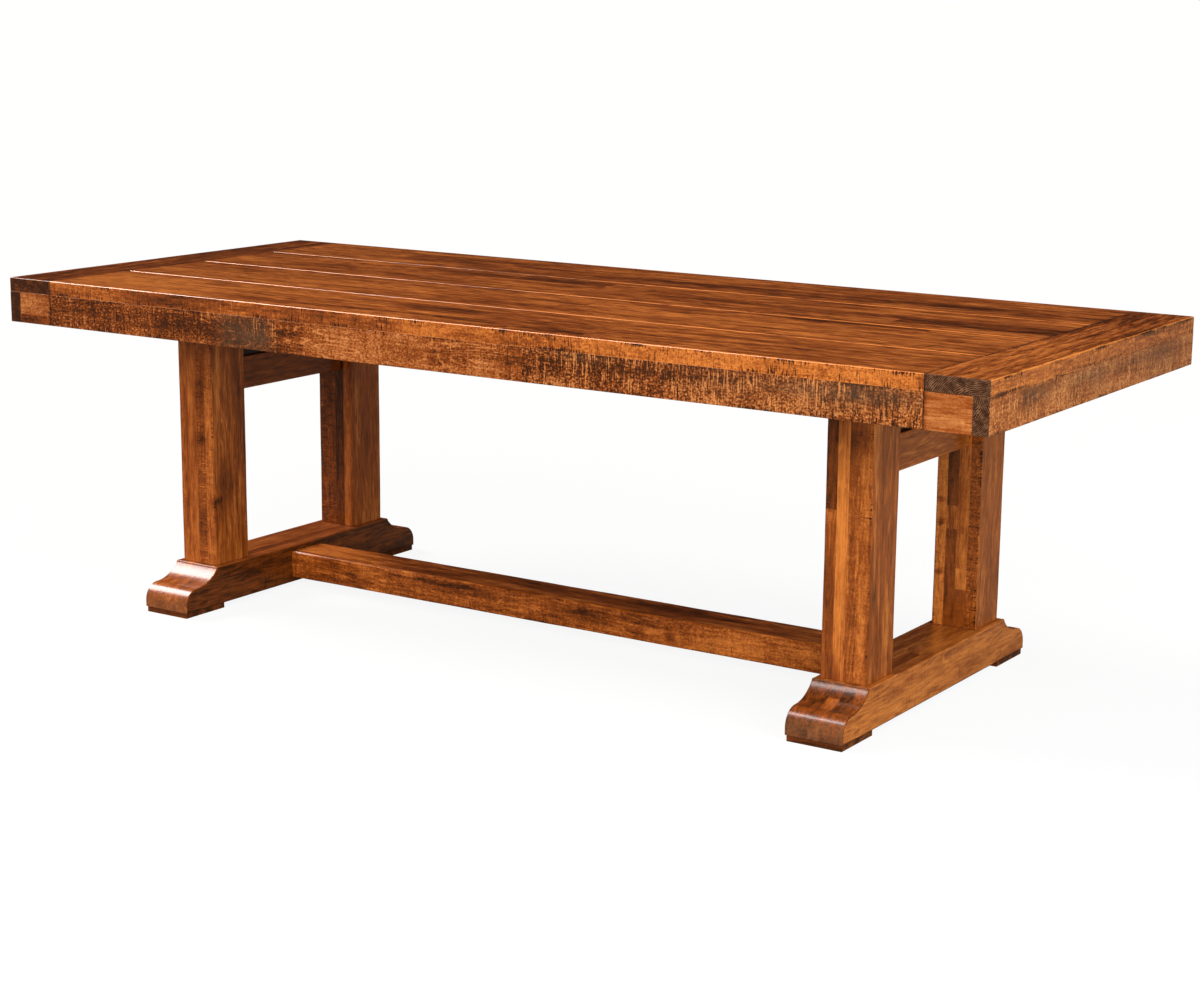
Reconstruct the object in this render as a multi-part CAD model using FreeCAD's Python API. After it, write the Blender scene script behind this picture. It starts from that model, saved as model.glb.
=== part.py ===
import FreeCAD, Part
import math
import os

# Farmhouse trestle table, millimetres.
# The origin is on the floor under the middle of the top, X runs along the table, +Z is up.

# Overall
table_height = 762.0
top_length = 2438.4
top_width = 1016.0

# Top: planks between two breadboard ends
top_thickness = 31.75
plank_count = 4
breadboard_width = 127.0
plank_bevel = 2.0
end_bevel = 0.8
edge_round = 3.0
tongue_length = 25.4
tongue_thickness = 10.6
tongue_setback = 31.75
spline_width = 25.4
spline_thickness = 6.35
peg_diameter = 9.5
peg_cover = 6.0
peg_travel = 6.0

# Built-up edge under the top
skirt_depth = 69.85
skirt_thickness = 31.75
skirt_ease = 1.2
glue_block_leg = 28.0
glue_block_length = 100.0
glue_blocks_per_side = 6
glue_blocks_per_end = 3
corner_block_leg = 60.0
corner_block_height = 57.0

# Centre batten
batten_width = 76.2
batten_thickness = 31.75
batten_end_gap = 50.8
batten_screws_per_plank = 2

# Pedestals
pedestal_inset = 374.65
post_width = 101.6
post_depth = 111.1
post_spread = 609.6
post_ease = 2.5
cleat_thickness = 38.1
cleat_overhang = 63.5
cleat_end_bevel = 19.05
rail_thickness = 38.1
rail_depth = 76.2
rail_drop = 120.65
web_thickness = 19.05
web_groove = 6.35

# Feet with ogee ends
foot_height = 88.9
foot_ledge = 12.7
nose_land = 4.0
nose_round = 2.5
cove_run = 67.0
cove_drop = 32.0
toe_radius = 37.8
pad_height = 12.7
pad_length = 127.0
pad_inset = 3.175

# Stretcher
stretcher_width = 108.0
stretcher_depth = 63.5
stretcher_ease = 2.5

# Mortise and tenon joints
post_tenon_width = 50.8
post_tenon_depth = 63.5
post_tenon_foot = 50.8
post_tenon_cleat = 25.4
rail_tenon_thickness = 19.05
rail_tenon_depth = 50.8
rail_tenon_length = 38.1
stub_tenon_length = 12.7
stub_tenon_shoulder = 12.7

# Hardware
cleat_bolt_diameter = 8.0
cleat_bolt_bite = 18.0
insert_diameter = 12.7
insert_length = 20.0
hanger_diameter = 9.5
hanger_bite = 50.8
hanger_spacing = 54.0
pocket_setback = 63.5
pocket_length = 38.1
pocket_round = 3.0
screw_diameter = 4.2
screw_bite = 22.0
batten_screw_bite = 18.0
pad_screw_spacing = 76.2
pad_screw_sink = 1.5
washer_thickness = 1.6
washer_spread = 1.25
bolt_head_across = 1.6
bolt_head_height = 0.65
nut_across = 1.5
nut_height = 0.85
round_flats = 12

# Fits
cheek_clearance = 0.15
end_clearance = 1.5
fastener_clearance = 0.1
bolt_hole_clearance = 0.5
slot_travel = 4.0
screw_travel = 2.0

# Derived levels and places
deck = table_height - top_thickness
tongue_level = deck + top_thickness / 2
half_length = top_length / 2
half_width = top_width / 2
shoulder_x = half_length - breadboard_width
plank_width = top_width / plank_count
skirt_bottom = deck - skirt_depth
skirt_inner_y = half_width - skirt_thickness
skirt_inner_x = half_length - skirt_thickness
pedestal_x = half_length - pedestal_inset
cleat_bottom = deck - cleat_thickness
foot_top = pad_height + foot_height
post_outer_y = post_spread / 2
post_inner_y = post_outer_y - post_depth
post_y = post_outer_y - post_depth / 2
rail_top = cleat_bottom - rail_drop
rail_bottom = rail_top - rail_depth
rail_level = rail_top - rail_depth / 2
foot_width = post_width + 2 * foot_ledge
foot_flat = post_outer_y + foot_ledge
foot_reach = foot_flat + cove_run + toe_radius
foot_inner_x = pedestal_x - foot_width / 2
stretcher_level = pad_height + foot_height / 2
stretcher_bottom = stretcher_level - stretcher_depth / 2
cleat_reach = post_outer_y + cleat_overhang
inner_bolt_y = post_inner_y / 2
outer_bolt_y = post_outer_y + cleat_overhang / 2
inner_bolt_shift = (web_thickness + post_width) / 4
pad_width = foot_width - 2 * pad_inset
pad_y = foot_reach - pad_inset - pad_length / 2


def vec(x, y, z):
    return FreeCAD.Vector(x, y, z)


x_axis = vec(1, 0, 0)
z_axis = vec(0, 0, 1)


# A box from three pairs of limits, in either order.
def block(xs, ys, zs):
    low = [min(pair) for pair in (xs, ys, zs)]
    size = [abs(pair[1] - pair[0]) for pair in (xs, ys, zs)]
    return Part.makeBox(size[0], size[1], size[2], vec(low[0], low[1], low[2]))


# Edges of a closed outline, where each corner is (point, radius) and radius 0 stays sharp.
def outline(corners):
    points = [point for point, radius in corners]
    count = len(points)
    edges = []
    ends = []
    for i, (point, radius) in enumerate(corners):
        back = (points[i - 1] - point).normalize()
        ahead = (points[(i + 1) % count] - point).normalize()
        half = back.getAngle(ahead) / 2
        if radius > 0:
            start = point + back * (radius / math.tan(half))
            end = point + ahead * (radius / math.tan(half))
            centre = point + (back + ahead).normalize() * (radius / math.sin(half))
            middle = centre + (point - centre).normalize() * radius
            edges.append(Part.Arc(start, middle, end).toShape())
            ends.append((start, end))
        else:
            ends.append((point, point))
    for i in range(count):
        start, end = ends[i - 1][1], ends[i][0]
        edges.append(Part.LineSegment(start, end).toShape())
    return Part.Wire(Part.sortEdges(edges)[0])


# A solid from an outline carried along a straight path.
def prism(corners, path):
    return Part.Face(outline(corners)).extrude(path)


# A bar along one axis, with its four long edges rounded.
def bar(xs, ys, zs, axis, radius):
    low, high = [min(p) for p in (xs, ys, zs)], [max(p) for p in (xs, ys, zs)]
    u, v = [i for i in range(3) if i != axis]
    corners = []
    for a, b in ((low[u], low[v]), (high[u], low[v]), (high[u], high[v]), (low[u], high[v])):
        place = list(low)
        place[u], place[v] = a, b
        corners.append((vec(*place), radius))
    path = [0, 0, 0]
    path[axis] = high[axis] - low[axis]
    return prism(corners, vec(*path))


# Lays a solid that was made along +Z on another axis, with its foot at a point.
def laid(shape, base, direction):
    shape = shape.copy()
    shape.Placement = FreeCAD.Placement(base, FreeCAD.Rotation(z_axis, direction))
    return shape


# Corners of a regular outline about Z. Small round stock and its holes share the same number of flats.
def ring(radius, height, sides=round_flats):
    turns = [2 * math.pi * k / sides for k in range(sides)]
    return [vec(radius * math.cos(turn), radius * math.sin(turn), height) for turn in turns]


def flat_face(points):
    return Part.Face(Part.makePolygon(points + points[:1]))


def rod(diameter, length, base, direction):
    return laid(flat_face(ring(diameter / 2, 0)).extrude(vec(0, 0, length)), base, direction)


def hexagon(across_flats, height):
    return flat_face(ring(across_flats / math.sqrt(3), 0, 6)).extrude(vec(0, 0, height))


# A hole that lets a rod of this diameter slide along Y by the travel.
def slotted_hole(diameter, travel, x, y, z_from, z_to):
    half = ring(diameter / 2, z_from)[: round_flats // 2 + 1]
    front = [vec(x + point.x, y + travel / 2 + point.y, z_from) for point in half]
    back = [vec(x - point.x, y - travel / 2 - point.y, z_from) for point in half]
    return flat_face(front + back).extrude(vec(0, 0, z_to - z_from))


# A solid about Z from a closed half section of (radius, height) points.
def turned(section):
    faces = []
    for (r0, z0), (r1, z1) in zip(section, section[1:] + section[:1]):
        low, high = ring(r0, z0), ring(r1, z1)
        for k in range(round_flats):
            strip = [low[k - 1], low[k], high[k], high[k - 1]]
            corners = strip[:1] + strip[2:] if r0 == 0 else strip[:3] if r1 == 0 else strip
            if r0 > 0 or r1 > 0:
                faces.append(flat_face(corners))
    solid = Part.Solid(Part.Shell(faces))
    if solid.Volume < 0:
        solid.reverse()
    return solid.removeSplitter()


# Countersunk wood screw with its head face at the foot and its point along +Z.
def countersunk_screw(length):
    shank = screw_diameter / 2
    return turned([(0, 0), (2 * shank, 0), (shank, shank), (shank, length - screw_diameter), (0, length)])


# Pan-head wood screw, the underside of its head at height 0 and its point along +Z.
def pan_screw(length):
    shank = screw_diameter / 2
    head = [(0, -shank), (1.5 * shank, -shank), (2 * shank, 0)]
    return turned(head + [(shank, 0), (shank, length - screw_diameter), (0, length)])


# Hole for the bite of a wood screw in the piece that it draws up.
def pilot_hole(bite, base, direction):
    return rod(screw_diameter + 2 * fastener_clearance, bite + end_clearance, base, direction)


# The same piece after half a turn about the middle of the table.
def half_turn(shape):
    shape = shape.copy()
    shape.rotate(vec(0, 0, 0), z_axis, 180)
    return shape


def save(name, shapes):
    shape = shapes[0] if len(shapes) == 1 else Part.makeCompound(shapes)
    shape.exportStep("parts/%s.step" % name)


# Top planks: an extruded section with spline grooves and bevelled joints, and a tongue at each end.
def plank(index):
    low = -half_width + index * plank_width
    high = low + plank_width
    groove_low = tongue_level - spline_thickness / 2 - cheek_clearance
    groove_high = tongue_level + spline_thickness / 2 + cheek_clearance
    depth = spline_width / 2 + end_clearance / 2
    corners = [(low, deck, 0), (high, deck, 0)]
    joined = [index > 0, index < plank_count - 1]
    if joined[1]:
        corners += [(high, groove_low, 0), (high - depth, groove_low, 0), (high - depth, groove_high, 0)]
        corners += [(high, groove_high, 0), (high, table_height - plank_bevel, 0)]
        corners += [(high - plank_bevel, table_height, 0)]
    else:
        corners += [(high, table_height, edge_round)]
    if joined[0]:
        corners += [(low + plank_bevel, table_height, 0), (low, table_height - plank_bevel, 0)]
        corners += [(low, groove_high, 0), (low + depth, groove_high, 0), (low + depth, groove_low, 0)]
        corners += [(low, groove_low, 0)]
    else:
        corners += [(low, table_height, edge_round)]
    section = [(vec(-shoulder_x, y, z), radius) for y, z, radius in corners]
    body = prism(section, vec(2 * shoulder_x, 0, 0))
    tongue_low = low if joined[0] else low + tongue_setback
    tongue_high = high if joined[1] else high - tongue_setback
    tongue_zs = (tongue_level - tongue_thickness / 2, tongue_level + tongue_thickness / 2)
    for end in (-1, 1):
        tongue_xs = (end * shoulder_x, end * (shoulder_x + tongue_length))
        body = body.fuse(block(tongue_xs, (tongue_low, tongue_high), tongue_zs))
        body = body.cut(end_bevel_cutter(end * shoulder_x, -end))
    for x, y in peg_places():
        if low < y < high:
            body = body.cut(slotted_hole(peg_diameter + 2 * fastener_clearance, peg_travel, x, y, *tongue_zs))
    for x, y in insert_places():
        if low < y < high:
            body = body.cut(insert_bore(x, y))
    for x, y in batten_screw_places():
        if low < y < high:
            body = body.cut(pilot_hole(batten_screw_bite, vec(x, y, deck), z_axis))
    return body.removeSplitter()


# Wedge that bevels the top edge where plank ends meet the breadboard, towards side along X.
def end_bevel_cutter(x, side):
    reach = half_width + edge_round
    corners = [(x, table_height - end_bevel), (x, table_height), (x + side * end_bevel, table_height)]
    return prism([(vec(a, -reach, z), 0) for a, z in corners], vec(0, 2 * reach, 0))


def plank_splines():
    strips = []
    zs = (tongue_level - spline_thickness / 2, tongue_level + spline_thickness / 2)
    for index in range(1, plank_count):
        y = -half_width + index * plank_width
        strips.append(block((-shoulder_x, shoulder_x), (y - spline_width / 2, y + spline_width / 2), zs))
    return strips


# One peg in the tongue of each plank, at both ends.
def peg_places():
    x = shoulder_x + tongue_length / 2
    rows = [-half_width + (index + 0.5) * plank_width for index in range(plank_count)]
    return [(end * x, y) for end in (-1, 1) for y in rows]


def breadboard_right():
    radii = [0, 0, edge_round, 0]
    places = [(shoulder_x, deck), (half_length, deck)]
    places += [(half_length, table_height), (shoulder_x, table_height)]
    section = [(vec(x, -half_width, z), radius) for (x, z), radius in zip(places, radii)]
    body = prism(section, vec(0, top_width, 0))
    reach = half_width - tongue_setback + end_clearance
    slack = tongue_thickness / 2 + cheek_clearance
    groove_xs = (shoulder_x, shoulder_x + tongue_length + end_clearance)
    body = body.cut(block(groove_xs, (-reach, reach), (tongue_level - slack, tongue_level + slack)))
    body = body.cut(end_bevel_cutter(shoulder_x, 1))
    for x, y in peg_places():
        if x > 0:
            height = top_thickness - peg_cover
            body = body.cut(rod(peg_diameter + 2 * fastener_clearance, height, vec(x, y, deck), z_axis))
    return body


def breadboard_pegs():
    height = top_thickness - peg_cover
    return [rod(peg_diameter, height, vec(x, y, deck), z_axis) for x, y in peg_places()]


# Built-up edge: the front corners are eased along the seams and the lower edge.
def skirt_front():
    face = -half_width
    xs = (-shoulder_x, shoulder_x)
    body = eased_board(xs, (face, -skirt_inner_y), (skirt_bottom, deck))
    return body.cut(seam_cutter(shoulder_x, -1)).cut(seam_cutter(-shoulder_x, 1))


# Board along X with its two lower edges eased.
def eased_board(xs, ys, zs):
    places = [(ys[0], zs[0]), (ys[1], zs[0]), (ys[1], zs[1]), (ys[0], zs[1])]
    radii = [skirt_ease, skirt_ease, 0, 0]
    section = [(vec(xs[0], y, z), radius) for (y, z), radius in zip(places, radii)]
    return prism(section, vec(xs[1] - xs[0], 0, 0))


# Wedge that eases an upright front edge at x, towards side along X.
def seam_cutter(x, side):
    face = -half_width
    corners = [(x, face), (x + side * skirt_ease, face), (x, face + skirt_ease)]
    return prism([(vec(a, b, skirt_bottom), 0) for a, b in corners], vec(0, 0, skirt_depth))


def corner_return(end):
    xs = sorted((end * shoulder_x, end * skirt_inner_x))
    body = eased_board(xs, (-half_width, -skirt_inner_y), (skirt_bottom, deck))
    return body.cut(seam_cutter(end * shoulder_x, end)).cut(seam_cutter(end * skirt_inner_x, -end))


def end_skirt_right():
    places = [(skirt_inner_x, skirt_bottom), (half_length, skirt_bottom)]
    places += [(half_length, deck), (skirt_inner_x, deck)]
    radii = [skirt_ease, skirt_ease, skirt_ease, 0]
    section = [(vec(x, -half_width, z), radius) for (x, z), radius in zip(places, radii)]
    return prism(section, vec(0, top_width, 0))


# Triangular blocks in the angle between a skirt's inner face and the planks above.
def skirt_glue_blocks():
    pitch = 2 * shoulder_x / glue_blocks_per_side
    blocks = []
    for index in range(glue_blocks_per_side):
        x = -shoulder_x + (index + 0.5) * pitch - glue_block_length / 2
        corner = [(-skirt_inner_y, deck), (-skirt_inner_y + glue_block_leg, deck)]
        corner += [(-skirt_inner_y, deck - glue_block_leg)]
        front = prism([(vec(x, y, z), 0) for y, z in corner], vec(glue_block_length, 0, 0))
        blocks += [front, half_turn(front)]
    return blocks


def end_glue_blocks():
    pitch = 2 * skirt_inner_y / glue_blocks_per_end
    blocks = []
    for index in range(glue_blocks_per_end):
        y = -skirt_inner_y + (index + 0.5) * pitch - glue_block_length / 2
        corner = [(skirt_inner_x, deck), (skirt_inner_x - glue_block_leg, deck)]
        corner += [(skirt_inner_x, deck - glue_block_leg)]
        right = prism([(vec(x, y, z), 0) for x, z in corner], vec(0, glue_block_length, 0))
        blocks += [right, half_turn(right)]
    return blocks


def corner_blocks():
    blocks = []
    for end in (-1, 1):
        x, y = end * skirt_inner_x, -skirt_inner_y
        corner = [(x, y), (x - end * corner_block_leg, y), (x, y + corner_block_leg)]
        bottom = deck - corner_block_height
        front = prism([(vec(a, b, bottom), 0) for a, b in corner], vec(0, 0, corner_block_height))
        blocks += [front, half_turn(front)]
    return blocks


# Centre batten under the planks. Its screws sit in slots, so that the planks can swell and shrink.
def batten_screw_places():
    places = []
    for index in range(plank_count):
        low = -half_width + index * plank_width
        for k in range(batten_screws_per_plank):
            side = 1 if k % 2 else -1
            row = low + (k + 0.5) * plank_width / batten_screws_per_plank
            places.append((side * batten_width / 4, row))
    return places


def centre_batten():
    reach = skirt_inner_y - batten_end_gap
    bottom = deck - batten_thickness
    body = block((-batten_width / 2, batten_width / 2), (-reach, reach), (bottom, deck))
    hole = screw_diameter + 2 * bolt_hole_clearance
    for x, y in batten_screw_places():
        body = body.cut(slotted_hole(hole, screw_travel, x, y, bottom, deck))
    return body


def batten_screws():
    one = pan_screw(batten_thickness + batten_screw_bite)
    return [laid(one, vec(x, y, deck - batten_thickness), z_axis) for x, y in batten_screw_places()]


# Cleat across the two posts, which carries the top. Its bolt holes are slotted along Y.
def cleat_right():
    low, high = pedestal_x - post_width / 2, pedestal_x + post_width / 2
    places = [(-cleat_reach + cleat_end_bevel, cleat_bottom), (cleat_reach - cleat_end_bevel, cleat_bottom)]
    places += [(cleat_reach, cleat_bottom + cleat_end_bevel), (cleat_reach, deck)]
    places += [(-cleat_reach, deck), (-cleat_reach, cleat_bottom + cleat_end_bevel)]
    body = prism([(vec(low, y, z), 0) for y, z in places], vec(high - low, 0, 0))
    for side in (-1, 1):
        body = body.cut(post_mortise(side * post_y, cleat_bottom, post_tenon_cleat))
    body = body.cut(web_space(cleat_bottom, web_groove + cheek_clearance))
    for x, y in insert_places():
        if x > 0:
            hole = cleat_bolt_diameter + 2 * bolt_hole_clearance
            body = body.cut(slotted_hole(hole, slot_travel, x, y, cleat_bottom, deck))
    return body


# Mortise for a post tenon, from a face at level up or down by the tenon's length.
def post_mortise(y, level, length):
    width = post_tenon_width / 2 + cheek_clearance
    depth = post_tenon_depth / 2 + cheek_clearance
    xs = (pedestal_x - width, pedestal_x + width)
    reach = length + math.copysign(end_clearance, length)
    return block(xs, (y - depth, y + depth), (level, level + reach))


# Space of the web panel between the posts, from a level up by height.
def web_space(level, height):
    width = web_thickness / 2 + cheek_clearance
    xs = (pedestal_x - width, pedestal_x + width)
    return block(xs, (-post_inner_y, post_inner_y), (level, level + height))


# Post with a tenon at each end and a mortise for the rail in its inner face.
def post_right(side):
    ys = (side * post_inner_y, side * post_outer_y)
    xs = (pedestal_x - post_width / 2, pedestal_x + post_width / 2)
    body = bar(xs, ys, (foot_top, cleat_bottom), 2, post_ease)
    tenon_xs = (pedestal_x - post_tenon_width / 2, pedestal_x + post_tenon_width / 2)
    tenon_ys = (side * post_y - post_tenon_depth / 2, side * post_y + post_tenon_depth / 2)
    tenon_zs = (foot_top - post_tenon_foot, cleat_bottom + post_tenon_cleat)
    body = body.fuse(block(tenon_xs, tenon_ys, tenon_zs)).removeSplitter()
    thickness = rail_tenon_thickness / 2 + cheek_clearance
    depth = rail_tenon_depth / 2 + cheek_clearance
    mortise_ys = (side * post_inner_y, side * (post_inner_y + rail_tenon_length + end_clearance))
    mortise_xs = (pedestal_x - thickness, pedestal_x + thickness)
    return body.cut(block(mortise_xs, mortise_ys, (rail_level - depth, rail_level + depth)))


# Rail between the posts, tenoned at both ends, with a groove along its top for the web panel.
def rail_right():
    xs = (pedestal_x - rail_thickness / 2, pedestal_x + rail_thickness / 2)
    body = block(xs, (-post_inner_y, post_inner_y), (rail_bottom, rail_top))
    reach = post_inner_y + rail_tenon_length
    tenon_xs = (pedestal_x - rail_tenon_thickness / 2, pedestal_x + rail_tenon_thickness / 2)
    tenon_zs = (rail_level - rail_tenon_depth / 2, rail_level + rail_tenon_depth / 2)
    body = body.fuse(block(tenon_xs, (-reach, reach), tenon_zs)).removeSplitter()
    return body.cut(web_space(rail_top, -web_groove))


def web_panel_right():
    xs = (pedestal_x - web_thickness / 2, pedestal_x + web_thickness / 2)
    reach = post_inner_y - cheek_clearance
    return block(xs, (-reach, reach), (rail_top - web_groove, cleat_bottom + web_groove))


# Foot: an ogee outline in Y and Z carried across X. From the top each end has a small upright nose,
# a hollow cove that runs level at its foot, a round toe and an upright face.
def foot_right():
    nose_z = foot_top - nose_land
    waist_z = nose_z - cove_drop
    toe_z = waist_z - toe_radius
    waist_y = foot_flat + cove_run
    cove_radius = (cove_run ** 2 + cove_drop ** 2) / (2 * cove_drop)
    half_sweep = math.atan2(cove_run, cove_radius - cove_drop) / 2
    cove_mid_y = waist_y - cove_radius * math.sin(half_sweep)
    cove_mid_z = waist_z + cove_radius * (1 - math.cos(half_sweep))
    toe_mid = toe_radius * math.sqrt(0.5)
    nose_mid = nose_round * (1 - math.sqrt(0.5))
    x = foot_inner_x
    edges = []
    for side in (-1, 1):
        nose_start = vec(x, side * (foot_flat - nose_round), foot_top)
        nose_middle = vec(x, side * (foot_flat - nose_mid), foot_top - nose_mid)
        nose_end = vec(x, side * foot_flat, foot_top - nose_round)
        cove_start = vec(x, side * foot_flat, nose_z)
        cove_middle = vec(x, side * cove_mid_y, cove_mid_z)
        waist = vec(x, side * waist_y, waist_z)
        toe_middle = vec(x, side * (waist_y + toe_mid), toe_z + toe_mid)
        toe_end = vec(x, side * foot_reach, toe_z)
        sole = vec(x, side * foot_reach, pad_height)
        edges.append(Part.Arc(nose_start, nose_middle, nose_end).toShape())
        edges.append(Part.LineSegment(nose_end, cove_start).toShape())
        edges.append(Part.Arc(cove_start, cove_middle, waist).toShape())
        edges.append(Part.Arc(waist, toe_middle, toe_end).toShape())
        edges.append(Part.LineSegment(toe_end, sole).toShape())
    for y, z in ((foot_flat - nose_round, foot_top), (foot_reach, pad_height)):
        edges.append(Part.LineSegment(vec(x, -y, z), vec(x, y, z)).toShape())
    profile = Part.Wire(Part.sortEdges(edges)[0])
    body = Part.Face(profile).extrude(vec(foot_width, 0, 0))
    for side in (-1, 1):
        body = body.cut(post_mortise(side * post_y, foot_top, -post_tenon_foot))
    tenon_y = stretcher_width / 2 - stub_tenon_shoulder + cheek_clearance
    tenon_z = stretcher_depth / 2 - stub_tenon_shoulder + cheek_clearance
    stub_xs = (foot_inner_x, foot_inner_x + stub_tenon_length + end_clearance)
    stub_zs = (stretcher_level - tenon_z, stretcher_level + tenon_z)
    body = body.cut(block(stub_xs, (-tenon_y, tenon_y), stub_zs))
    bolt_hole = hanger_diameter + 2 * fastener_clearance
    for y in hanger_rows():
        start = vec(foot_inner_x, y, stretcher_level)
        body = body.cut(rod(bolt_hole, stub_tenon_length + hanger_bite, start, x_axis))
    for x, y in pad_screw_places():
        body = body.cut(pilot_hole(screw_bite, vec(x, y, pad_height), z_axis))
    return body


def pad_screw_places():
    offsets = (-pad_screw_spacing / 2, pad_screw_spacing / 2)
    return [(pedestal_x, side * pad_y + offset) for side in (-1, 1) for offset in offsets]


# Pad under one end of a foot, countersunk for its screws.
def pad_right(side):
    xs = (pedestal_x - pad_width / 2, pedestal_x + pad_width / 2)
    ys = (side * pad_y - pad_length / 2, side * pad_y + pad_length / 2)
    body = block(xs, ys, (0, pad_height))
    shank = screw_diameter / 2 + fastener_clearance
    mouth = 2 * shank + pad_screw_sink
    bore = turned([(0, 0), (mouth, 0), (shank, mouth - shank), (shank, pad_height), (0, pad_height)])
    for x, y in pad_screw_places():
        if y * side > 0:
            body = body.cut(laid(bore, vec(x, y, 0), z_axis))
    return body


def pad_screws_right():
    one = countersunk_screw(pad_height - pad_screw_sink + screw_bite)
    return [laid(one, vec(x, y, pad_screw_sink), z_axis) for x, y in pad_screw_places()]


# Bolts that hold the top to the cleats: threaded inserts in the planks, washers and bolt heads below.
# Outer bolts pass beyond the posts, inner ones between the posts and beside the web panel.
def insert_places():
    places = []
    for end in (-1, 1):
        for side in (-1, 1):
            places.append((end * pedestal_x, side * outer_bolt_y))
            places.append((end * pedestal_x + side * inner_bolt_shift, side * inner_bolt_y))
    return places


def insert_bore(x, y):
    diameter = insert_diameter + 2 * fastener_clearance
    return rod(diameter, insert_length + end_clearance, vec(x, y, deck), z_axis)


def threaded_inserts():
    inner = cleat_bolt_diameter / 2 + fastener_clearance
    outer = insert_diameter / 2
    section = [(inner, 0), (outer, 0), (outer, insert_length), (inner, insert_length)]
    return [laid(turned(section), vec(x, y, deck), z_axis) for x, y in insert_places()]


def washer_radius(bolt_diameter):
    return washer_spread * bolt_diameter


def washer(bolt_diameter):
    inner = bolt_diameter / 2 + fastener_clearance
    outer = washer_radius(bolt_diameter)
    return turned([(inner, 0), (outer, 0), (outer, washer_thickness), (inner, washer_thickness)])


def cleat_washers():
    level = cleat_bottom - washer_thickness
    return [laid(washer(cleat_bolt_diameter), vec(x, y, level), z_axis) for x, y in insert_places()]


def cleat_bolts():
    head_height = bolt_head_height * cleat_bolt_diameter
    length = washer_thickness + cleat_thickness + cleat_bolt_bite
    one = hexagon(bolt_head_across * cleat_bolt_diameter, head_height)
    one = one.fuse(rod(cleat_bolt_diameter, length, vec(0, 0, head_height), z_axis)).removeSplitter()
    level = cleat_bottom - washer_thickness - head_height
    return [laid(one, vec(x, y, level), z_axis) for x, y in insert_places()]


# Stretcher between the feet: stub tenons, bolt holes and nut pockets cut from below.
def hanger_rows():
    return (-hanger_spacing / 2, hanger_spacing / 2)


def stretcher():
    ys = (-stretcher_width / 2, stretcher_width / 2)
    zs = (stretcher_bottom, stretcher_bottom + stretcher_depth)
    body = bar((-foot_inner_x, foot_inner_x), ys, zs, 0, stretcher_ease)
    reach = foot_inner_x + stub_tenon_length
    tenon_y = stretcher_width / 2 - stub_tenon_shoulder
    tenon_z = stretcher_depth / 2 - stub_tenon_shoulder
    tenon_zs = (stretcher_level - tenon_z, stretcher_level + tenon_z)
    body = body.fuse(block((-reach, reach), (-tenon_y, tenon_y), tenon_zs)).removeSplitter()
    hole = hanger_diameter + 2 * bolt_hole_clearance
    room = washer_radius(hanger_diameter) + end_clearance
    ceiling = stretcher_level + room
    for end in (-1, 1):
        near = end * (foot_inner_x - pocket_setback)
        far = near - end * pocket_length
        for y in hanger_rows():
            pocket_ys = (y - room - pocket_round, y + room + pocket_round)
            body = body.cut(bar((near, far), pocket_ys, (stretcher_bottom, ceiling), 2, pocket_round))
            start = vec(end * reach, y, stretcher_level)
            body = body.cut(rod(hole, pocket_setback + stub_tenon_length, start, x_axis * -end))
    return body


# Hanger bolts stand in the feet. Their free ends reach the pockets, where washers and nuts draw the joint up.
def hanger_sets():
    height = nut_height * hanger_diameter
    pocket_x = foot_inner_x - pocket_setback
    length = hanger_bite + stub_tenon_length + pocket_setback + washer_thickness + height + end_clearance
    nut = hexagon(nut_across * hanger_diameter, height)
    nut = nut.cut(rod(hanger_diameter + 2 * fastener_clearance, height, vec(0, 0, 0), z_axis))
    sets = {"bolts": [], "washers": [], "nuts": []}
    for y in hanger_rows():
        bolt = rod(hanger_diameter, length, vec(0, 0, 0), z_axis)
        bolt_end = vec(foot_inner_x + stub_tenon_length + hanger_bite, y, stretcher_level)
        washer_place = vec(pocket_x, y, stretcher_level)
        nut_place = vec(pocket_x - washer_thickness, y, stretcher_level)
        sets["bolts"].append(laid(bolt, bolt_end, x_axis * -1))
        sets["washers"].append(laid(washer(hanger_diameter), washer_place, x_axis * -1))
        sets["nuts"].append(laid(nut, nut_place, x_axis * -1))
    return {name: right + [half_turn(one) for one in right] for name, right in sets.items()}


os.makedirs("parts", exist_ok=True)

for index in range(plank_count):
    save("top_plank_%d" % (index + 1), [plank(index)])
save("plank_splines", plank_splines())
save("breadboard_pegs", breadboard_pegs())
save("front_skirt", [skirt_front()])
save("back_skirt", [half_turn(skirt_front())])
for end, name, opposite in ((-1, "left", "right"), (1, "right", "left")):
    save("front_%s_corner_return" % name, [corner_return(end)])
    save("back_%s_corner_return" % opposite, [half_turn(corner_return(end))])
save("skirt_glue_blocks", skirt_glue_blocks())
save("end_glue_blocks", end_glue_blocks())
save("corner_blocks", corner_blocks())
save("centre_batten", [centre_batten()])
save("batten_screws", batten_screws())
save("threaded_inserts", threaded_inserts())
save("cleat_washers", cleat_washers())
save("cleat_bolts", cleat_bolts())
save("stretcher", [stretcher()])
for name, solids in hanger_sets().items():
    save("stretcher_%s" % name, solids)
save("pad_screws", pad_screws_right() + [half_turn(one) for one in pad_screws_right()])

# A left-hand piece is the right-hand one after half a turn, which also swaps front and back.
paired = {
    "breadboard": breadboard_right(),
    "end_skirt": end_skirt_right(),
    "cleat": cleat_right(),
    "rail": rail_right(),
    "web_panel": web_panel_right(),
    "foot": foot_right(),
}
for name, shape in paired.items():
    save("right_%s" % name, [shape])
    save("left_%s" % name, [half_turn(shape)])
for side, name, opposite in ((-1, "front", "back"), (1, "back", "front")):
    save("right_%s_post" % name, [post_right(side)])
    save("left_%s_post" % opposite, [half_turn(post_right(side))])
    save("right_%s_pad" % name, [pad_right(side)])
    save("left_%s_pad" % opposite, [half_turn(pad_right(side))])
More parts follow.
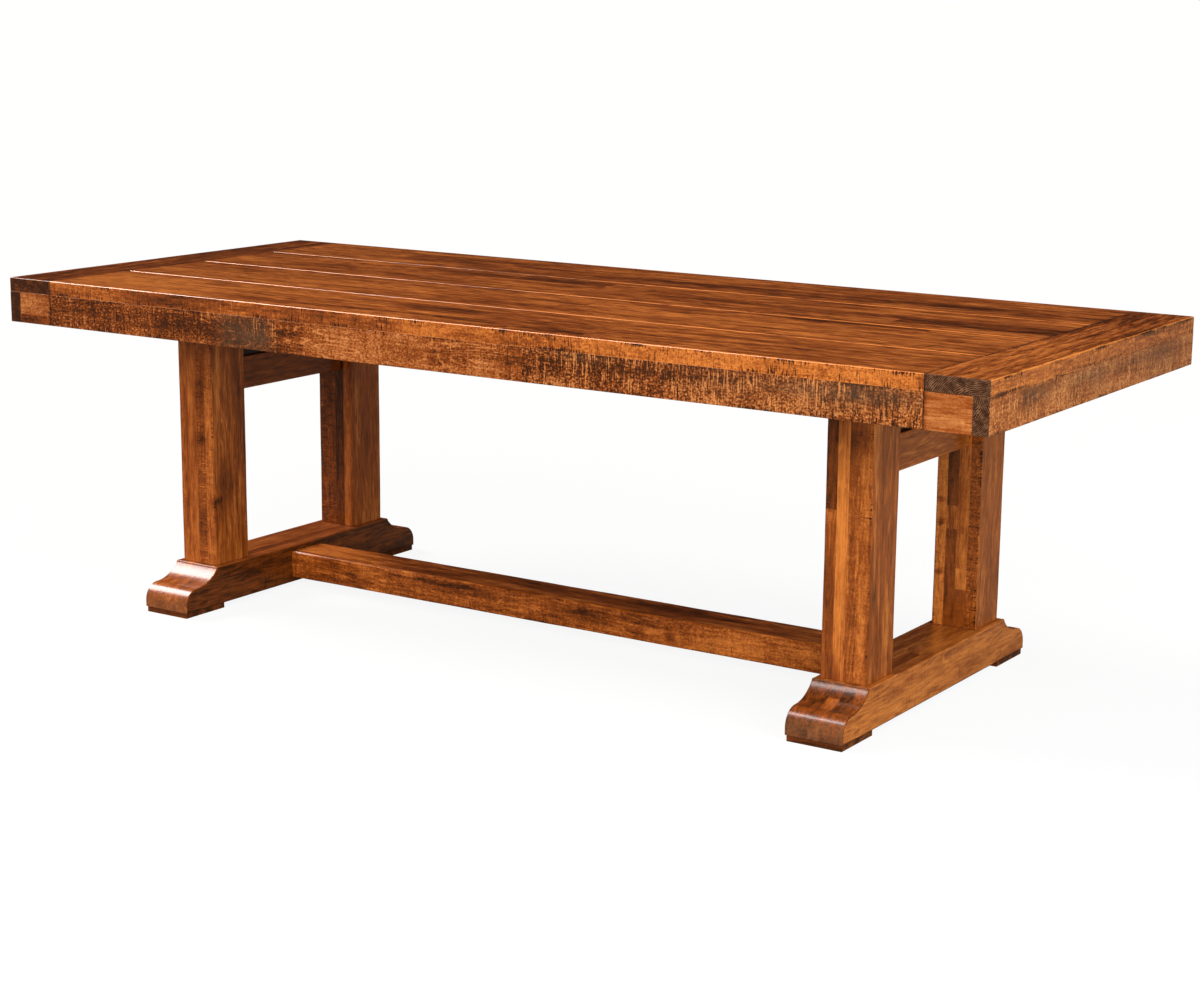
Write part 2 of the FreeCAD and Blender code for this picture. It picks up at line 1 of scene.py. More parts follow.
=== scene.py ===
import math

import bpy
import numpy as np
from mathutils import Matrix, Vector


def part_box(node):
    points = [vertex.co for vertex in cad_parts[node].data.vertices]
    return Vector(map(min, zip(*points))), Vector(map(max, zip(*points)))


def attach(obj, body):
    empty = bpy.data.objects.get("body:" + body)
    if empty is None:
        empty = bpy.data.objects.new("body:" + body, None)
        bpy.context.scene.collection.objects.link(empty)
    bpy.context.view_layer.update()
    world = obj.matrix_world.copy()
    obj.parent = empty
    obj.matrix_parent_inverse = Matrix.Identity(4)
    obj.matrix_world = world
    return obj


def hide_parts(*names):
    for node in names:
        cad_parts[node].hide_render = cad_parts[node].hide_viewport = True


# Farmhouse trestle table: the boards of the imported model, rebuilt with worn edges and stained grain.
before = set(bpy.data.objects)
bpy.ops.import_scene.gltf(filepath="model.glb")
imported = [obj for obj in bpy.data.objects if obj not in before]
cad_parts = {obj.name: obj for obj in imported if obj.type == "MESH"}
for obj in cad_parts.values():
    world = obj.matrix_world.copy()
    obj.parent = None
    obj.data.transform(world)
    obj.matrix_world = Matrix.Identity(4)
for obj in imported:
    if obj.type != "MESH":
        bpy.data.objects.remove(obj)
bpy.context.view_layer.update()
scene = bpy.context.scene


# Camera, light and floor
cameraView = {
    "place": (2.9139, -4.3134, 1.4373),  # metres
    "turn": 33.39,  # degrees round from the middle of the front
    "tilt": 12.273,  # degrees down
    "roll": -0.488,  # degrees
    "lens": 71.64,  # mm
    "sensor": 36.0,  # mm, the width of the frame
    "reach": 4000.0,  # metres
}


def addObject(name, data):
    made = bpy.data.objects.new(name, data)
    scene.collection.objects.link(made)
    return made


def placeCamera(view):
    # The camera starts level and looks along Y, then rolls, tilts down and turns
    turn, tilt, roll = (math.radians(view[key]) for key in ("turn", "tilt", "roll"))
    turned = Matrix.Rotation(turn, 4, "Z") @ Matrix.Rotation(math.pi / 2 - tilt, 4, "X")
    data = bpy.data.cameras.new("photoCamera")
    data.sensor_fit = "HORIZONTAL"
    data.sensor_width = view["sensor"]
    data.lens = view["lens"]
    data.clip_end = view["reach"]
    camera = addObject("photoCamera", data)
    camera.matrix_world = Matrix.Translation(view["place"]) @ turned @ Matrix.Rotation(-roll, 4, "Z")
    scene.camera = camera


studioLight = {
    # towards the light, strength, angular size in degrees, colour
    "key": ((-0.74, -0.1, 0.66), 3.5, 30, (1.0, 0.97, 0.96)),
    "fill": ((0.28, -0.84, 0.46), 2.5, 50, (1.0, 0.97, 0.93)),
    "back": ((0.05, 0.96, 0.28), 1.5, 60, (1.0, 0.97, 0.93)),
    # place and aim, width and height in metres, watts, colour
    "side": ((3.4, -1.4, 1.2), (0.3, 0.0, 0.5), (1.8, 1.8), 100, (0.8, 1.0, 1.05)),
    "spark": ((-0.28, -1.12, 2.17), (0.84, -0.45, 0.08), (0.8, 0.25), 11, (1.0, 0.98, 0.97)),
    "sky": 0.012,
    "backdrop": 1.25,
    "floor": (0.3, 0.29, 0.28),
    "bounce": (0.17, 0.14, 0.115),  # what the floor gives back to the wood
    "floorGlow": 0.72,  # share of the floor that is plain white to the eye
    "floorReach": 1800.0,
}


def addLamp(name, kind, settings, towards):
    data = bpy.data.lights.new(name + "Light", kind)
    for key, value in settings.items():
        setattr(data, key, value)
    lamp = addObject(name + "Light", data)
    lamp.rotation_euler = Vector(towards).to_track_quat("Z", "Y").to_euler()
    return lamp


def splitRays(tree, hidden, seen):
    # One shader for what the eye sees, another for every other ray
    eye = addNode(tree, "ShaderNodeLightPath").outputs["Is Camera Ray"]
    return addNode(tree, "ShaderNodeMixShader", {0: eye, 1: hidden.outputs[0], 2: seen.outputs[0]}).outputs[0]


def lightStudio(look):
    for name in ("key", "fill", "back"):
        towards, strength, spread, colour = look[name]
        sun = {"energy": strength, "angle": math.radians(spread), "color": colour}
        lamp = addLamp(name, "SUN", sun, towards)
        lamp.visible_glossy = name == "key"  # one clear highlight, and no glare from the fills
    for name in ("side", "spark"):
        place, aim, (wide, high), watts, colour = look[name]
        panel = {"shape": "RECTANGLE", "size": wide, "size_y": high, "energy": watts, "color": colour}
        lamp = addLamp(name, "AREA", panel, Vector(place) - Vector(aim))
        lamp.location = place
        lamp.visible_camera = False
        lamp.visible_glossy = name == "spark"
    # The backdrop is white to the eye but lights weakly, so that the top isn't washed out
    world = bpy.data.worlds.new("studio")
    world.use_nodes = True
    tree = world.node_tree
    tree.nodes.clear()
    weak = addNode(tree, "ShaderNodeBackground", {"Strength": look["sky"]})
    white = {"Color": (1, 1, 1, 1), "Strength": look["backdrop"]}
    mixed = splitRays(tree, weak, addNode(tree, "ShaderNodeBackground", white))
    addNode(tree, "ShaderNodeOutputWorld", {"Surface": mixed})
    scene.world = world
    scene.view_settings.view_transform = "Standard"
    # A flat sheet under the feet, wider than the picture
    reach = look["floorReach"]
    mesh = bpy.data.meshes.new("studioFloor")
    mesh.from_pydata([(-reach, -reach, 0), (reach, -reach, 0), (reach, reach, 0), (-reach, reach, 0)],
                     [], [(0, 1, 2, 3)])
    paper, tree, _ = startMaterial("palePaper")
    tree.nodes.clear()
    dull = addNode(tree, "ShaderNodeBsdfDiffuse", {"Color": (*look["floor"], 1)})
    bright = addNode(tree, "ShaderNodeEmission", white)
    sheet = addNode(tree, "ShaderNodeMixShader", {
        0: look["floorGlow"], 1: dull.outputs[0], 2: bright.outputs[0]})
    bounce = addNode(tree, "ShaderNodeBsdfDiffuse", {"Color": (*look["bounce"], 1)})
    addNode(tree, "ShaderNodeOutputMaterial", {"Surface": splitRays(tree, bounce, sheet)})
    mesh.materials.append(paper)
    addObject("studioFloor", mesh)


# Node tools
def startMaterial(name):
    # A new material, its node tree, and the inputs of its shader
    material = bpy.data.materials.new(name)
    material.use_nodes = True
    tree = material.node_tree
    return material, tree, tree.nodes["Principled BSDF"].inputs


def feed(tree, sockets, values):
    # Each socket gets a link or a plain value
    for key, value in values.items():
        if isinstance(value, bpy.types.NodeSocket):
            tree.links.new(value, sockets[key])
        else:
            sockets[key].default_value = value


def addNode(tree, kind, inputs=None, **settings):
    made = tree.nodes.new(kind)
    for key, value in settings.items():
        setattr(made, key, value)
    feed(tree, made.inputs, inputs or {})
    return made


def calc(tree, operation, *terms, clamp=False):
    inputs = dict(enumerate(terms))
    return addNode(tree, "ShaderNodeMath", inputs, operation=operation, use_clamp=clamp).outputs[0]


def scaled(tree, *terms, clamp=False):
    # The first term times the second, plus the third where there is one
    return calc(tree, "MULTIPLY_ADD" if len(terms) == 3 else "MULTIPLY", *terms, clamp=clamp)


def calcVector(tree, operation, *terms):
    return addNode(tree, "ShaderNodeVectorMath", dict(enumerate(terms)), operation=operation).outputs[0]


def ramp(tree, value, start, end):
    # 0 below start, 1 above end, with a soft shoulder between them
    inputs = {"Value": value, "From Min": start, "From Max": end}
    return addNode(tree, "ShaderNodeMapRange", inputs, interpolation_type="SMOOTHSTEP").outputs[0]


noiseLook = {
    # scale along, across and through the board, then detail and roughness
    "bend": (1.8, 7.0, 7.0, 2.0, 0.55), "streak": (3.2, 46.0, 46.0, 6.0, 0.7),
    "dash": (13.0, 125.0, 125.0, 3.0, 0.65), "fibre": (22.0, 170.0, 170.0, 3.0, 0.7),
    "cloud": (4.6, 19.0, 19.0, 4.0, 0.6), "patch": (6.0, 17.0, 17.0, 3.0, 0.55),
    "fine": (430.0, 34.0, 34.0, 2.0, 0.6), "worn": (390.0, 28.0, 28.0, 2.0, 0.6),
    "rung": (75.0, 9.0, 9.0, 3.0, 0.6), "fleck": (190.0, 240.0, 240.0, 3.0, 0.65),
    "gather": (13.0, 30.0, 30.0, 3.0, 0.6), "bare": (5.0, 11.0, 11.0, 3.0, 0.55),
    "figure": (2.4, 24.0, 24.0, 1.0, 0.45), "figureGate": (4.0, 7.0, 7.0, 2.0, 0.5),
    "ringPush": (40.0, 40.0, 40.0, 3.0, 0.55), "ringFleck": (70.0, 70.0, 70.0, 4.0, 0.65),
    "metalShade": (90.0, 90.0, 90.0, 3.0, 0.55), "metalLine": (700.0, 700.0, 2600.0, 2.0, 0.55),
}
noiseGain = 4.0  # brings noise, from its middle, to about -1 to 1


def swing(tree, vector, name):
    # Noise with its own stretch along, across and through the board, about -1 to 1
    *stretch, detail, roughness = noiseLook[name]
    noise = addNode(tree, "ShaderNodeTexNoise", {
        "Vector": calcVector(tree, "MULTIPLY", vector, stretch), "Scale": 1.0, "Detail": detail,
        "Roughness": roughness})
    return scaled(tree, noise.outputs[0], noiseGain, -noiseGain / 2)


def blendColour(tree, share, under, over):
    inputs = {0: share, 6: under, 7: over}
    return addNode(tree, "ShaderNodeMix", inputs, data_type="RGBA", clamp_factor=True).outputs[2]


def bumped(tree, height, look):
    inputs = {"Strength": look["bump"], "Distance": look["bumpDistance"], "Height": height}
    return addNode(tree, "ShaderNodeBump", inputs).outputs[0]


def startGroup(name, inputs, outputs, **kinds):
    # A group, what it is given and what it puts out: plain numbers unless another kind is named
    tree = bpy.data.node_groups.new(name, "ShaderNodeTree")
    for inOut, labels in (("INPUT", inputs), ("OUTPUT", outputs)):
        for label in labels:
            kind = "NodeSocket" + kinds.get(label, "Float")
            tree.interface.new_socket(label, in_out=inOut, socket_type=kind)
    return tree, tree.nodes.new("NodeGroupInput").outputs, tree.nodes.new("NodeGroupOutput").inputs


def placeGroup(tree, group, inputs):
    return addNode(tree, "ShaderNodeGroup", inputs, node_tree=group).outputs


def stain(colour):
    # A colour given as it looks on screen, 0 to 255, turned to the linear values that shaders use
    return tuple(((v / 255 + 0.055) / 1.055) ** 2.4 for v in colour) + (1.0,)


# Shared wood effects
def makeBoardGrain():
    # Streaks, thin dashes, fine fibre and cloudy stain, moved by the seed of a stave and bent by slow noise
    seedShift, wander = (31.0, 17.0, 23.0), (0.0, 0.0075, 0.0075)  # metres
    tree, given, out = startGroup(
        "boardGrain", ("Grain", "Seed"), ("Place", "Streak", "Dash", "Fibre", "Cloud"),
        Grain="Vector", Place="Vector")
    moved = calcVector(tree, "MULTIPLY_ADD", given["Seed"], seedShift, given["Grain"])
    place = calcVector(tree, "MULTIPLY_ADD", swing(tree, moved, "bend"), wander, moved)
    feed(tree, out, {name: swing(tree, place, name.lower()) for name in ("Streak", "Fibre", "Cloud")})
    dash = ramp(tree, swing(tree, place, "dash"), start=0.15, end=0.8)
    feed(tree, out, {"Place": place, "Dash": dash})
    return tree


def makeSawMarks():
    # Strokes square to the grain: dark ticks that crowd near the board's edges, pale strokes where the
    # stain has worn, broader rungs, and small flecks
    crowding, patchDark, patchLight, sawShare = 1.1, 0.5, -0.35, 0.5
    tree, given, out = startGroup(
        "sawMarks", ("Place", "Sawn", "Edge"), ("Dark", "Light", "Rung", "Fleck"), Place="Vector")
    patch, fine, worn, rung, fleck, gather, bare = (
        swing(tree, given["Place"], name)
        for name in ("patch", "fine", "worn", "rung", "fleck", "gather", "bare"))
    near = scaled(tree, given["Edge"], ramp(tree, gather, start=-0.3, end=0.8))
    keen = scaled(tree, given["Sawn"], sawShare, -sawShare)
    crowd = calc(tree, "ADD", scaled(tree, patch, patchDark, scaled(tree, near, crowding)), keen)
    dark = ramp(tree, calc(tree, "ADD", crowd, fine), start=0.45, end=0.85)
    stroke = calc(tree, "ADD", scaled(tree, patch, patchLight, worn), keen)
    worn = ramp(tree, calc(tree, "ADD", bare, keen), start=-0.4, end=0.5)
    light = scaled(tree, ramp(tree, stroke, start=0.25, end=0.9), worn)
    marks = {"Dark": dark, "Light": light, "Rung": rung, "Fleck": fleck}
    feed(tree, out, {name: scaled(tree, mark, given["Sawn"]) for name, mark in marks.items()})
    return tree


def makeFigureLines():
    # Nested pale lines that follow the contours of a slow noise, in patches
    turns = 26.0  # radians for each unit of noise
    tree, given, out = startGroup("figureLines", ["Place"], ["Line"], Place="Vector")
    wave = calc(tree, "SINE", scaled(tree, swing(tree, given["Place"], "figure"), turns))
    gate = ramp(tree, swing(tree, given["Place"], "figureGate"), start=-0.25, end=0.4)
    feed(tree, out, {"Line": scaled(tree, ramp(tree, wave, start=0.6, end=1.0), gate)})
    return tree


def makeEndRings():
    # Growth rings on a cut end: circles about a heart off the board, pushed about by noise
    heart, heartShift, push = (0.0, -0.08, 0.06), (0.0, 0.12, 0.02), 0.003  # metres
    turns, fleck = 1900.0, 1.7  # radians per metre, and share
    tree, given, out = startGroup("endRings", ("Grain", "Seed"), ["Ring"], Grain="Vector")
    heart = calcVector(tree, "MULTIPLY_ADD", given["Seed"], heartShift, heart)
    flat = calcVector(tree, "MULTIPLY", calcVector(tree, "ADD", given["Grain"], heart), (0.0, 1.0, 1.0))
    reach = addNode(tree, "ShaderNodeVectorMath", {0: flat}, operation="LENGTH").outputs["Value"]
    pushed = scaled(tree, swing(tree, flat, "ringPush"), push, reach)
    wave = calc(tree, "SINE", scaled(tree, pushed, turns))
    ring = scaled(tree, swing(tree, flat, "ringFleck"), fleck, wave)
    feed(tree, out, {"Ring": ramp(tree, ring, start=-0.5, end=1.7)})
    return tree


def makeStainTone():
    # Three stain depths on one scale: dark at 0, the middle colour at a half, light at 1
    tree, given, out = startGroup("stainTone", ("Factor", "Dark", "Mid", "Light"), ["Color"], Dark="Color",
                                  Mid="Color", Light="Color", Color="Color")
    low = scaled(tree, given["Factor"], 2.0, clamp=True)
    high = scaled(tree, given["Factor"], 2.0, -1.0, clamp=True)
    lower = blendColour(tree, low, given["Dark"], given["Mid"])
    feed(tree, out, {"Color": blendColour(tree, high, lower, given["Light"])})
    return tree


lightStudio(studioLight)
placeCamera(cameraView)
print("studio: camera, three suns and two panels, white backdrop and floor")

boardGrain = makeBoardGrain()
sawMarks = makeSawMarks()
figureLines = makeFigureLines()
endRings = makeEndRings()
stainTone = makeStainTone()


# Stained finishes
woodLook = {
    "dark": (60, 26, 5), "mid": (144, 69, 22), "light": (218, 125, 53),
    "level": 0.56, "streak": 0.34, "dash": -0.36, "fibre": 0.14, "cloud": 0.28,
    "sawDark": -0.85, "sawLight": 0.65, "rung": 0.2, "fleck": 0.3, "blotch": 0.55, "figure": 0.16,
    "calm": 0.5,  # how far the grain gives way on a sawn face
    "fray": (0.75, 0.5, 0.4),  # share of a dark spot, and how far streaks and clouds break it up
    "sheenVeil": (0.7, 0.5, 0.8),  # share of the painted sheen, how far clouds change it and pale strokes cut it
    "easedEdgeStart": 0.96,  # edge mark above which an eased edge is smoothed and paled
    "edgeWear": 0.0,  # how much paler an eased edge is, partly wear and partly painted highlight
    # The grey-brown colour named last on the next line is painted sheen, laid over the stain in patches
    "ringGround": (49, 22, 8), "ringLine": (126, 86, 60), "haze": (80, 58, 41),
    "roughness": 0.36, "roughSpread": 0.05, "sawRough": 0.15,
    "specular": 0.2, "coat": 0.5, "coatRoughness": 0.14,
    "bump": 0.22, "bumpDistance": 0.0006, "fibreHeight": 0.25, "sawDepth": 1.6,
    "grainTurn": None,  # set for a carried-over node: the turn that lays its grain along X
    "seed": 0.4, "tone": 0.0, "sawn": 0.3,
}


def stainedWood(name, **changes):
    look = {**woodLook, **changes}
    material, tree, shader = startMaterial(name)
    shaped = look["grainTurn"] is None
    if shaped:
        grain, sawn, marks, stave = (addNode(tree, "ShaderNodeAttribute", attribute_name=label).outputs
                                     for label in ("grain", "sawn", "marks", "stave"))
        grain, sawn = grain["Vector"], sawn["Fac"]
        (edge, dark, haze), (seed, tone, cutEnd) = (
            addNode(tree, "ShaderNodeSeparateXYZ", {0: fact["Vector"]}).outputs for fact in (marks, stave))
    else:
        here = addNode(tree, "ShaderNodeTexCoord").outputs["Object"]
        grain = addNode(tree, "ShaderNodeMapping", {"Vector": here, "Rotation": look["grainTurn"]}).outputs[0]
        seed, tone, sawn, edge = look["seed"], look["tone"], look["sawn"], 0.0
    figure = placeGroup(tree, boardGrain, {"Grain": grain, "Seed": seed})
    streak, cloud = figure["Streak"], figure["Cloud"]
    saw = placeGroup(tree, sawMarks, {"Place": figure["Place"], "Sawn": sawn, "Edge": edge})
    lines = placeGroup(tree, figureLines, {"Place": figure["Place"]})
    # Where a face is sawn the grain shows less, and the saw's own marks show instead
    grained = scaled(tree, streak, look["streak"])
    for label in ("dash", "fibre", "cloud"):
        grained = scaled(tree, figure[label.title()], look[label], grained)
    calm = scaled(tree, sawn, -look["calm"], 1.0, clamp=True)
    depth = scaled(tree, grained, calm, calc(tree, "ADD", tone, look["level"]))
    for mark, share in (("Dark", "sawDark"), ("Light", "sawLight"), ("Rung", "rung"), ("Fleck", "fleck")):
        depth = scaled(tree, saw[mark], look[share], depth)
    depth = scaled(tree, lines["Line"], look["figure"], depth)
    height = scaled(tree, figure["Fibre"], look["fibreHeight"], streak)
    height = scaled(tree, saw["Dark"], -look["sawDepth"], height)
    if shaped:
        # Dark spots, stains and in places painted shade, fray along the streaks and clouds; eased edges are
        # smoothed and paled, partly wear and partly painted highlight
        whole, byStreak, byCloud = look["fray"]
        fray = scaled(tree, streak, -byStreak, whole)
        fray = scaled(tree, cloud, -byCloud, fray, clamp=True)
        depth = scaled(tree, scaled(tree, fray, dark), -look["blotch"], depth)
        # Eased edges are smoothed, and paled both as wear and as painted highlight
        wornAndLitEdge = ramp(tree, edge, look["easedEdgeStart"], 1.0)
        depth = scaled(tree, wornAndLitEdge, look["edgeWear"], depth)
        height = scaled(tree, height, calc(tree, "SUBTRACT", 1.0, wornAndLitEdge))
    stains = {label: stain(look[label.lower()]) for label in ("Dark", "Mid", "Light")}
    colour = placeGroup(tree, stainTone, {"Factor": depth, **stains})["Color"]
    if shaped:
        # Painted sheen: a grey-brown veil over the stain where the sheen spots call for it, changed by clouds
        # and cut by pale strokes
        whole, byCloud, byStroke = look["sheenVeil"]
        clouded = scaled(tree, cloud, byCloud, whole, clamp=True)
        uncut = scaled(tree, saw["Light"], -byStroke, 1.0, clamp=True)
        sheenVeil = scaled(tree, scaled(tree, haze, clouded), uncut)
        colour = blendColour(tree, sheenVeil, colour, stain(look["haze"]))
        rings = placeGroup(tree, endRings, {"Grain": grain, "Seed": seed})
        ringed = calc(tree, "ADD", rings["Ring"], tone)
        cut = blendColour(tree, ringed, stain(look["ringGround"]), stain(look["ringLine"]))
        colour = blendColour(tree, cutEnd, colour, cut)
    rough = scaled(tree, cloud, look["roughSpread"], look["roughness"])
    rough = scaled(tree, saw["Dark"], look["sawRough"], rough, clamp=True)
    feed(tree, shader, {
        "Base Color": colour, "Roughness": rough, "Normal": bumped(tree, height, look),
        "Specular IOR Level": look["specular"], "Coat Weight": look["coat"],
        "Coat Roughness": look["coatRoughness"]})
    return material


# On the top the pale eased edges are partly wear and partly painted highlight along the joints and front edge
topWood = stainedWood("topWood", level=0.575, streak=0.48, dash=-0.42, fibre=0.46, cloud=0.12, blotch=0.45,
                      sawLight=0.3, rung=0.1, figure=0.05, edgeWear=0.45, coat=0.7)
skirtStain = {"streak": 0.38, "cloud": 0.36, "light": (206, 130, 72)}
edgeWood = stainedWood("edgeWood", **skirtStain, figure=0.32, fleck=0.66, sawLight=0.75)
endWood = stainedWood("endWood", **skirtStain, figure=0.06, fleck=0.45, sawLight=0.7)
baseWood = stainedWood("baseWood", streak=0.26, dash=-0.22, fibre=0.24, cloud=0.16)
beamWood = stainedWood("beamWood", streak=0.38, dash=-0.34, fibre=0.34, cloud=0.22, fleck=0.5)
# The feet's pale grey-brown below is painted sheen, the gloss of the toes catching pale surroundings
footWood = stainedWood("footWood", streak=0.22, dash=-0.18, fibre=0.24, cloud=0.18, haze=(158, 142, 110),
                       coat=0.8, coatRoughness=0.22)
quarter = math.pi / 2
padWood = stainedWood("padWood", grainTurn=(0, 0, 0), level=0.14, light=(120, 62, 28))
# The web panel's near-black stain is partly its dark hidden finish and partly painted shade of the recess
# above the rails
webShadeWood = stainedWood("webShadeWood", grainTurn=(0, 0, -quarter), level=0.15, dark=(20, 9, 4), mid=(40, 19, 9))
hiddenWood = stainedWood("hiddenWood", grainTurn=(0, 0, -quarter), dark=(120, 82, 48), mid=(176, 132, 84),
                         light=(206, 168, 118), dash=-0.08)


metalLook = {
    "shadeShare": 0.3, "lineShare": 0.15, "roughSpread": 0.06, "bump": 0.1, "bumpDistance": 0.00015,
    "fastenerSteel": {"dark": (96, 98, 102), "light": (150, 152, 156), "roughness": 0.34},
    "insertBrass": {"dark": (132, 98, 44), "light": (190, 152, 84), "roughness": 0.3},
}


def turnedMetal(name, look):
    # Fine lathe lines over a slow change of shade
    own = look[name]
    material, tree, shader = startMaterial(name)
    here = addNode(tree, "ShaderNodeTexCoord").outputs["Object"]
    shade, lines = swing(tree, here, "metalShade"), swing(tree, here, "metalLine")
    share = scaled(tree, shade, look["shadeShare"], 0.5)
    share = scaled(tree, lines, look["lineShare"], share, clamp=True)
    colour = blendColour(tree, share, stain(own["dark"]), stain(own["light"]))
    rough = scaled(tree, shade, look["roughSpread"], own["roughness"])
    feed(tree, shader, {"Base Color": colour, "Roughness": rough, "Normal": bumped(tree, lines, look),
                        "Metallic": 1.0})
    return material


fastenerSteel = turnedMetal("fastenerSteel", metalLook)
insertBrass = turnedMetal("insertBrass", metalLook)
print("finishes:", len(bpy.data.materials), "materials")


# Mesh tools
hair = 0.00004  # metres from a rounded edge to the first mark beside it
slack = 0.0001  # metres that a point on a corner may lie off it
deep = 1.0  # metres, reach of a spot right through a board
endless = 10.0  # metres, reach of a spot all along it
waveLook = {"sines": 5, "quicken": 1.9, "spread": (0.85, 1.15), "fade": 0.55, "turn": 6.28, "level": 1.4}


def boxCorners(node):
    # Low and high corner of a node's box, as arrays that may be changed
    return [np.array(corner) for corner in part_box(node)]


def smoothWave(along, seed, wavelength):
    # Five sines, each about twice as quick and half as high as the last, with seeded speeds and phases
    look = waveLook
    pick = np.random.default_rng(seed)
    steps = np.arange(look["sines"])
    speed = 2 * np.pi / wavelength * look["quicken"] ** steps * pick.uniform(*look["spread"], len(steps))
    phase = pick.uniform(0, look["turn"], len(steps))
    return (look["fade"] ** steps * np.sin(speed * along[..., None] + phase)).sum(-1) / look["level"]


def spotsOn(axis, place, depth, spots):
    # Spots on a face that looks along the axis, each given by two places, two reaches and its strength,
    # which is below 0 for a paler spot. The face's own place and the depth are put in.
    return [(np.insert(spot[:2], axis, place), np.insert(spot[2:4], axis, depth), spot[4]) for spot in spots]


def softSpots(points, spots):
    # Each spot is a bell about its middle, with its own reach along X, Y and Z and its own height
    return sum((height * np.exp(-(((points - middle) / reach) ** 2).sum(1))
                for middle, reach, height in spots), np.zeros(len(points)))


def roundedLoop(acrossMarks, throughMarks, bevel, arcSteps=4):
    # Once round a rectangle, counter-clockwise: the unit rectangle of corner middles, the reach from there to
    # the surface, the way it faces, and each point's share in the four corners. A corner goes from a quarter
    # circle at bevel 0 to a flat at 1.
    sweep = np.linspace(0, np.pi / 2, arcSteps + 1)
    circle = np.stack((np.cos(sweep), np.sin(sweep)), 1)
    chord = np.stack((1 - sweep * 2 / np.pi, sweep * 2 / np.pi), 1)
    loops = [], [], [], []
    for side, (x, y) in enumerate(((1, 0), (0, 1), (-1, 0), (0, -1))):
        marks = (throughMarks, acrossMarks)[side % 2]
        marks = marks if side in (0, 3) else -marks[::-1]
        turned = np.array(((x, y), (-y, x)), float)
        straight = np.tile(turned[0], (len(marks), 1))
        step, corners = (1 + marks[:, None]) / 2, np.eye(4)
        cut = bevel[side]
        facing = (1 - cut) * circle + cut * np.sqrt(0.5)
        facing = facing / np.linalg.norm(facing, axis=1)[:, None]
        face = (np.stack((np.ones(len(marks)), marks), 1) @ turned, straight, straight,
                (1 - step) * corners[side - 1] + step * corners[side])
        corner = (np.ones_like(circle) @ turned, ((1 - cut) * circle + cut * chord) @ turned, facing @ turned,
                  np.tile(corners[side], (len(sweep), 1)))
        for loop, onFace, onCorner in zip(loops, face, corner):
            loop += [onFace, onCorner]
    return (np.concatenate(loop) for loop in loops)


def gridMarks(half, radius, cells, guard, cuts):
    # Marks across a face: even cells, a strip beside each edge, a hair's breadth from the edge, and the cuts
    inner = half - radius
    beside = np.array((guard, hair)) / inner
    marks = np.concatenate([np.linspace(-1, 1, cells + 2)[1:-1], beside - 1, 1 - beside,
                            np.asarray(cuts, float) / inner])
    marks = np.unique(np.round(marks, 6))
    return marks[np.abs(marks) < 1]


def easedStations(length, ease, guard, gap, cuts):
    # Places along a length, how far the section shrinks there, and how far the surface leans to the end
    rise = np.linspace(0, np.pi / 2, 4)
    inset, drawn, tip = ease * (1 - np.cos(rise)), ease * (1 - np.sin(rise)), np.cos(rise)
    count = max(2, int(length / gap))
    run = np.unique(np.concatenate([np.linspace(ease + guard, length - ease - guard, count), cuts]))
    still = np.zeros(len(run))
    return (np.concatenate(part) for part in (
        (inset, run, length - inset[::-1]), (drawn, still, drawn[::-1]), (-tip, still, tip[::-1])))


def carryAlong(axes, stations, lean, flat, outs):
    # A section carried along the first axis: its points, the way they face, the faces between one station
    # and the next, and the two ends
    along, *section = axes
    rows, columns = flat.shape[:2]
    points, normals = np.zeros((2, rows, columns, 3))
    points[..., along] = stations[:, None]
    points[..., section] = flat
    normals[..., along] = lean[:, None]
    normals[..., section] = np.sqrt(1 - lean ** 2)[:, None, None] * outs
    ring = np.arange(rows * columns).reshape(rows, columns)
    ahead = np.roll(ring, -1, 1)
    quads = np.stack((ring[:-1], ahead[:-1], ahead[1:], ring[1:]), -1).reshape(-1, 4)
    caps = [ring[0][::-1], ring[-1]]
    if axes not in ((0, 1, 2), (1, 2, 0), (2, 0, 1)):
        quads, caps = quads[:, ::-1], [cap[::-1] for cap in caps]
    return points.reshape(-1, 3), normals.reshape(-1, 3), quads, caps


def strip(width, tones=(0.0,), splits=(), sawn=1.0):
    # A stave: its part of the width, the tones of its runs, the shares of the length where they meet, and
    # how sawn they are
    return {"width": width, "tones": tones, "splits": splits, "sawn": sawn}


def staveFacts(staves, sideways, lengthways, length, seed):
    # For each face, the seed, tone and saw share of the run it lies in
    widths = np.cumsum([stave["width"] for stave in staves])
    row = np.searchsorted(widths[:-1] / widths[-1], sideways)
    pick = np.random.default_rng(seed)
    facts = np.zeros((len(sideways), 3))
    for index, stave in enumerate(staves):
        part = np.searchsorted(stave["splits"], lengthways / length)
        mine = row == index
        tones = np.array(stave["tones"])
        facts[mine, 0] = pick.uniform(0, 1, len(tones))[part[mine]]
        facts[mine, 1] = tones[part[mine]]
        facts[mine, 2] = np.broadcast_to(stave["sawn"], len(tones))[part[mine]]
    return facts


def finishPiece(name, points, quads, caps, normals, facts, material, node):
    mesh = bpy.data.meshes.new(name)
    mesh.from_pydata(points.tolist(), [], quads.tolist() + [cap.tolist() for cap in caps])
    for label, domain in (("grain", "POINT"), ("marks", "POINT"), ("stave", "FACE"), ("sawn", "FACE")):
        kind, field = ("FLOAT", "value") if label == "sawn" else ("FLOAT_VECTOR", "vector")
        layer = mesh.attributes.new(label, kind, domain)
        layer.data.foreach_set(field, np.ascontiguousarray(facts[label], np.float32).ravel())
    mesh.shade_smooth()
    mesh.normals_split_custom_set_from_vertices(normals.tolist())
    mesh.materials.append(material)
    piece = addObject(name, mesh)
    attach(piece, "root")
    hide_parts(node)


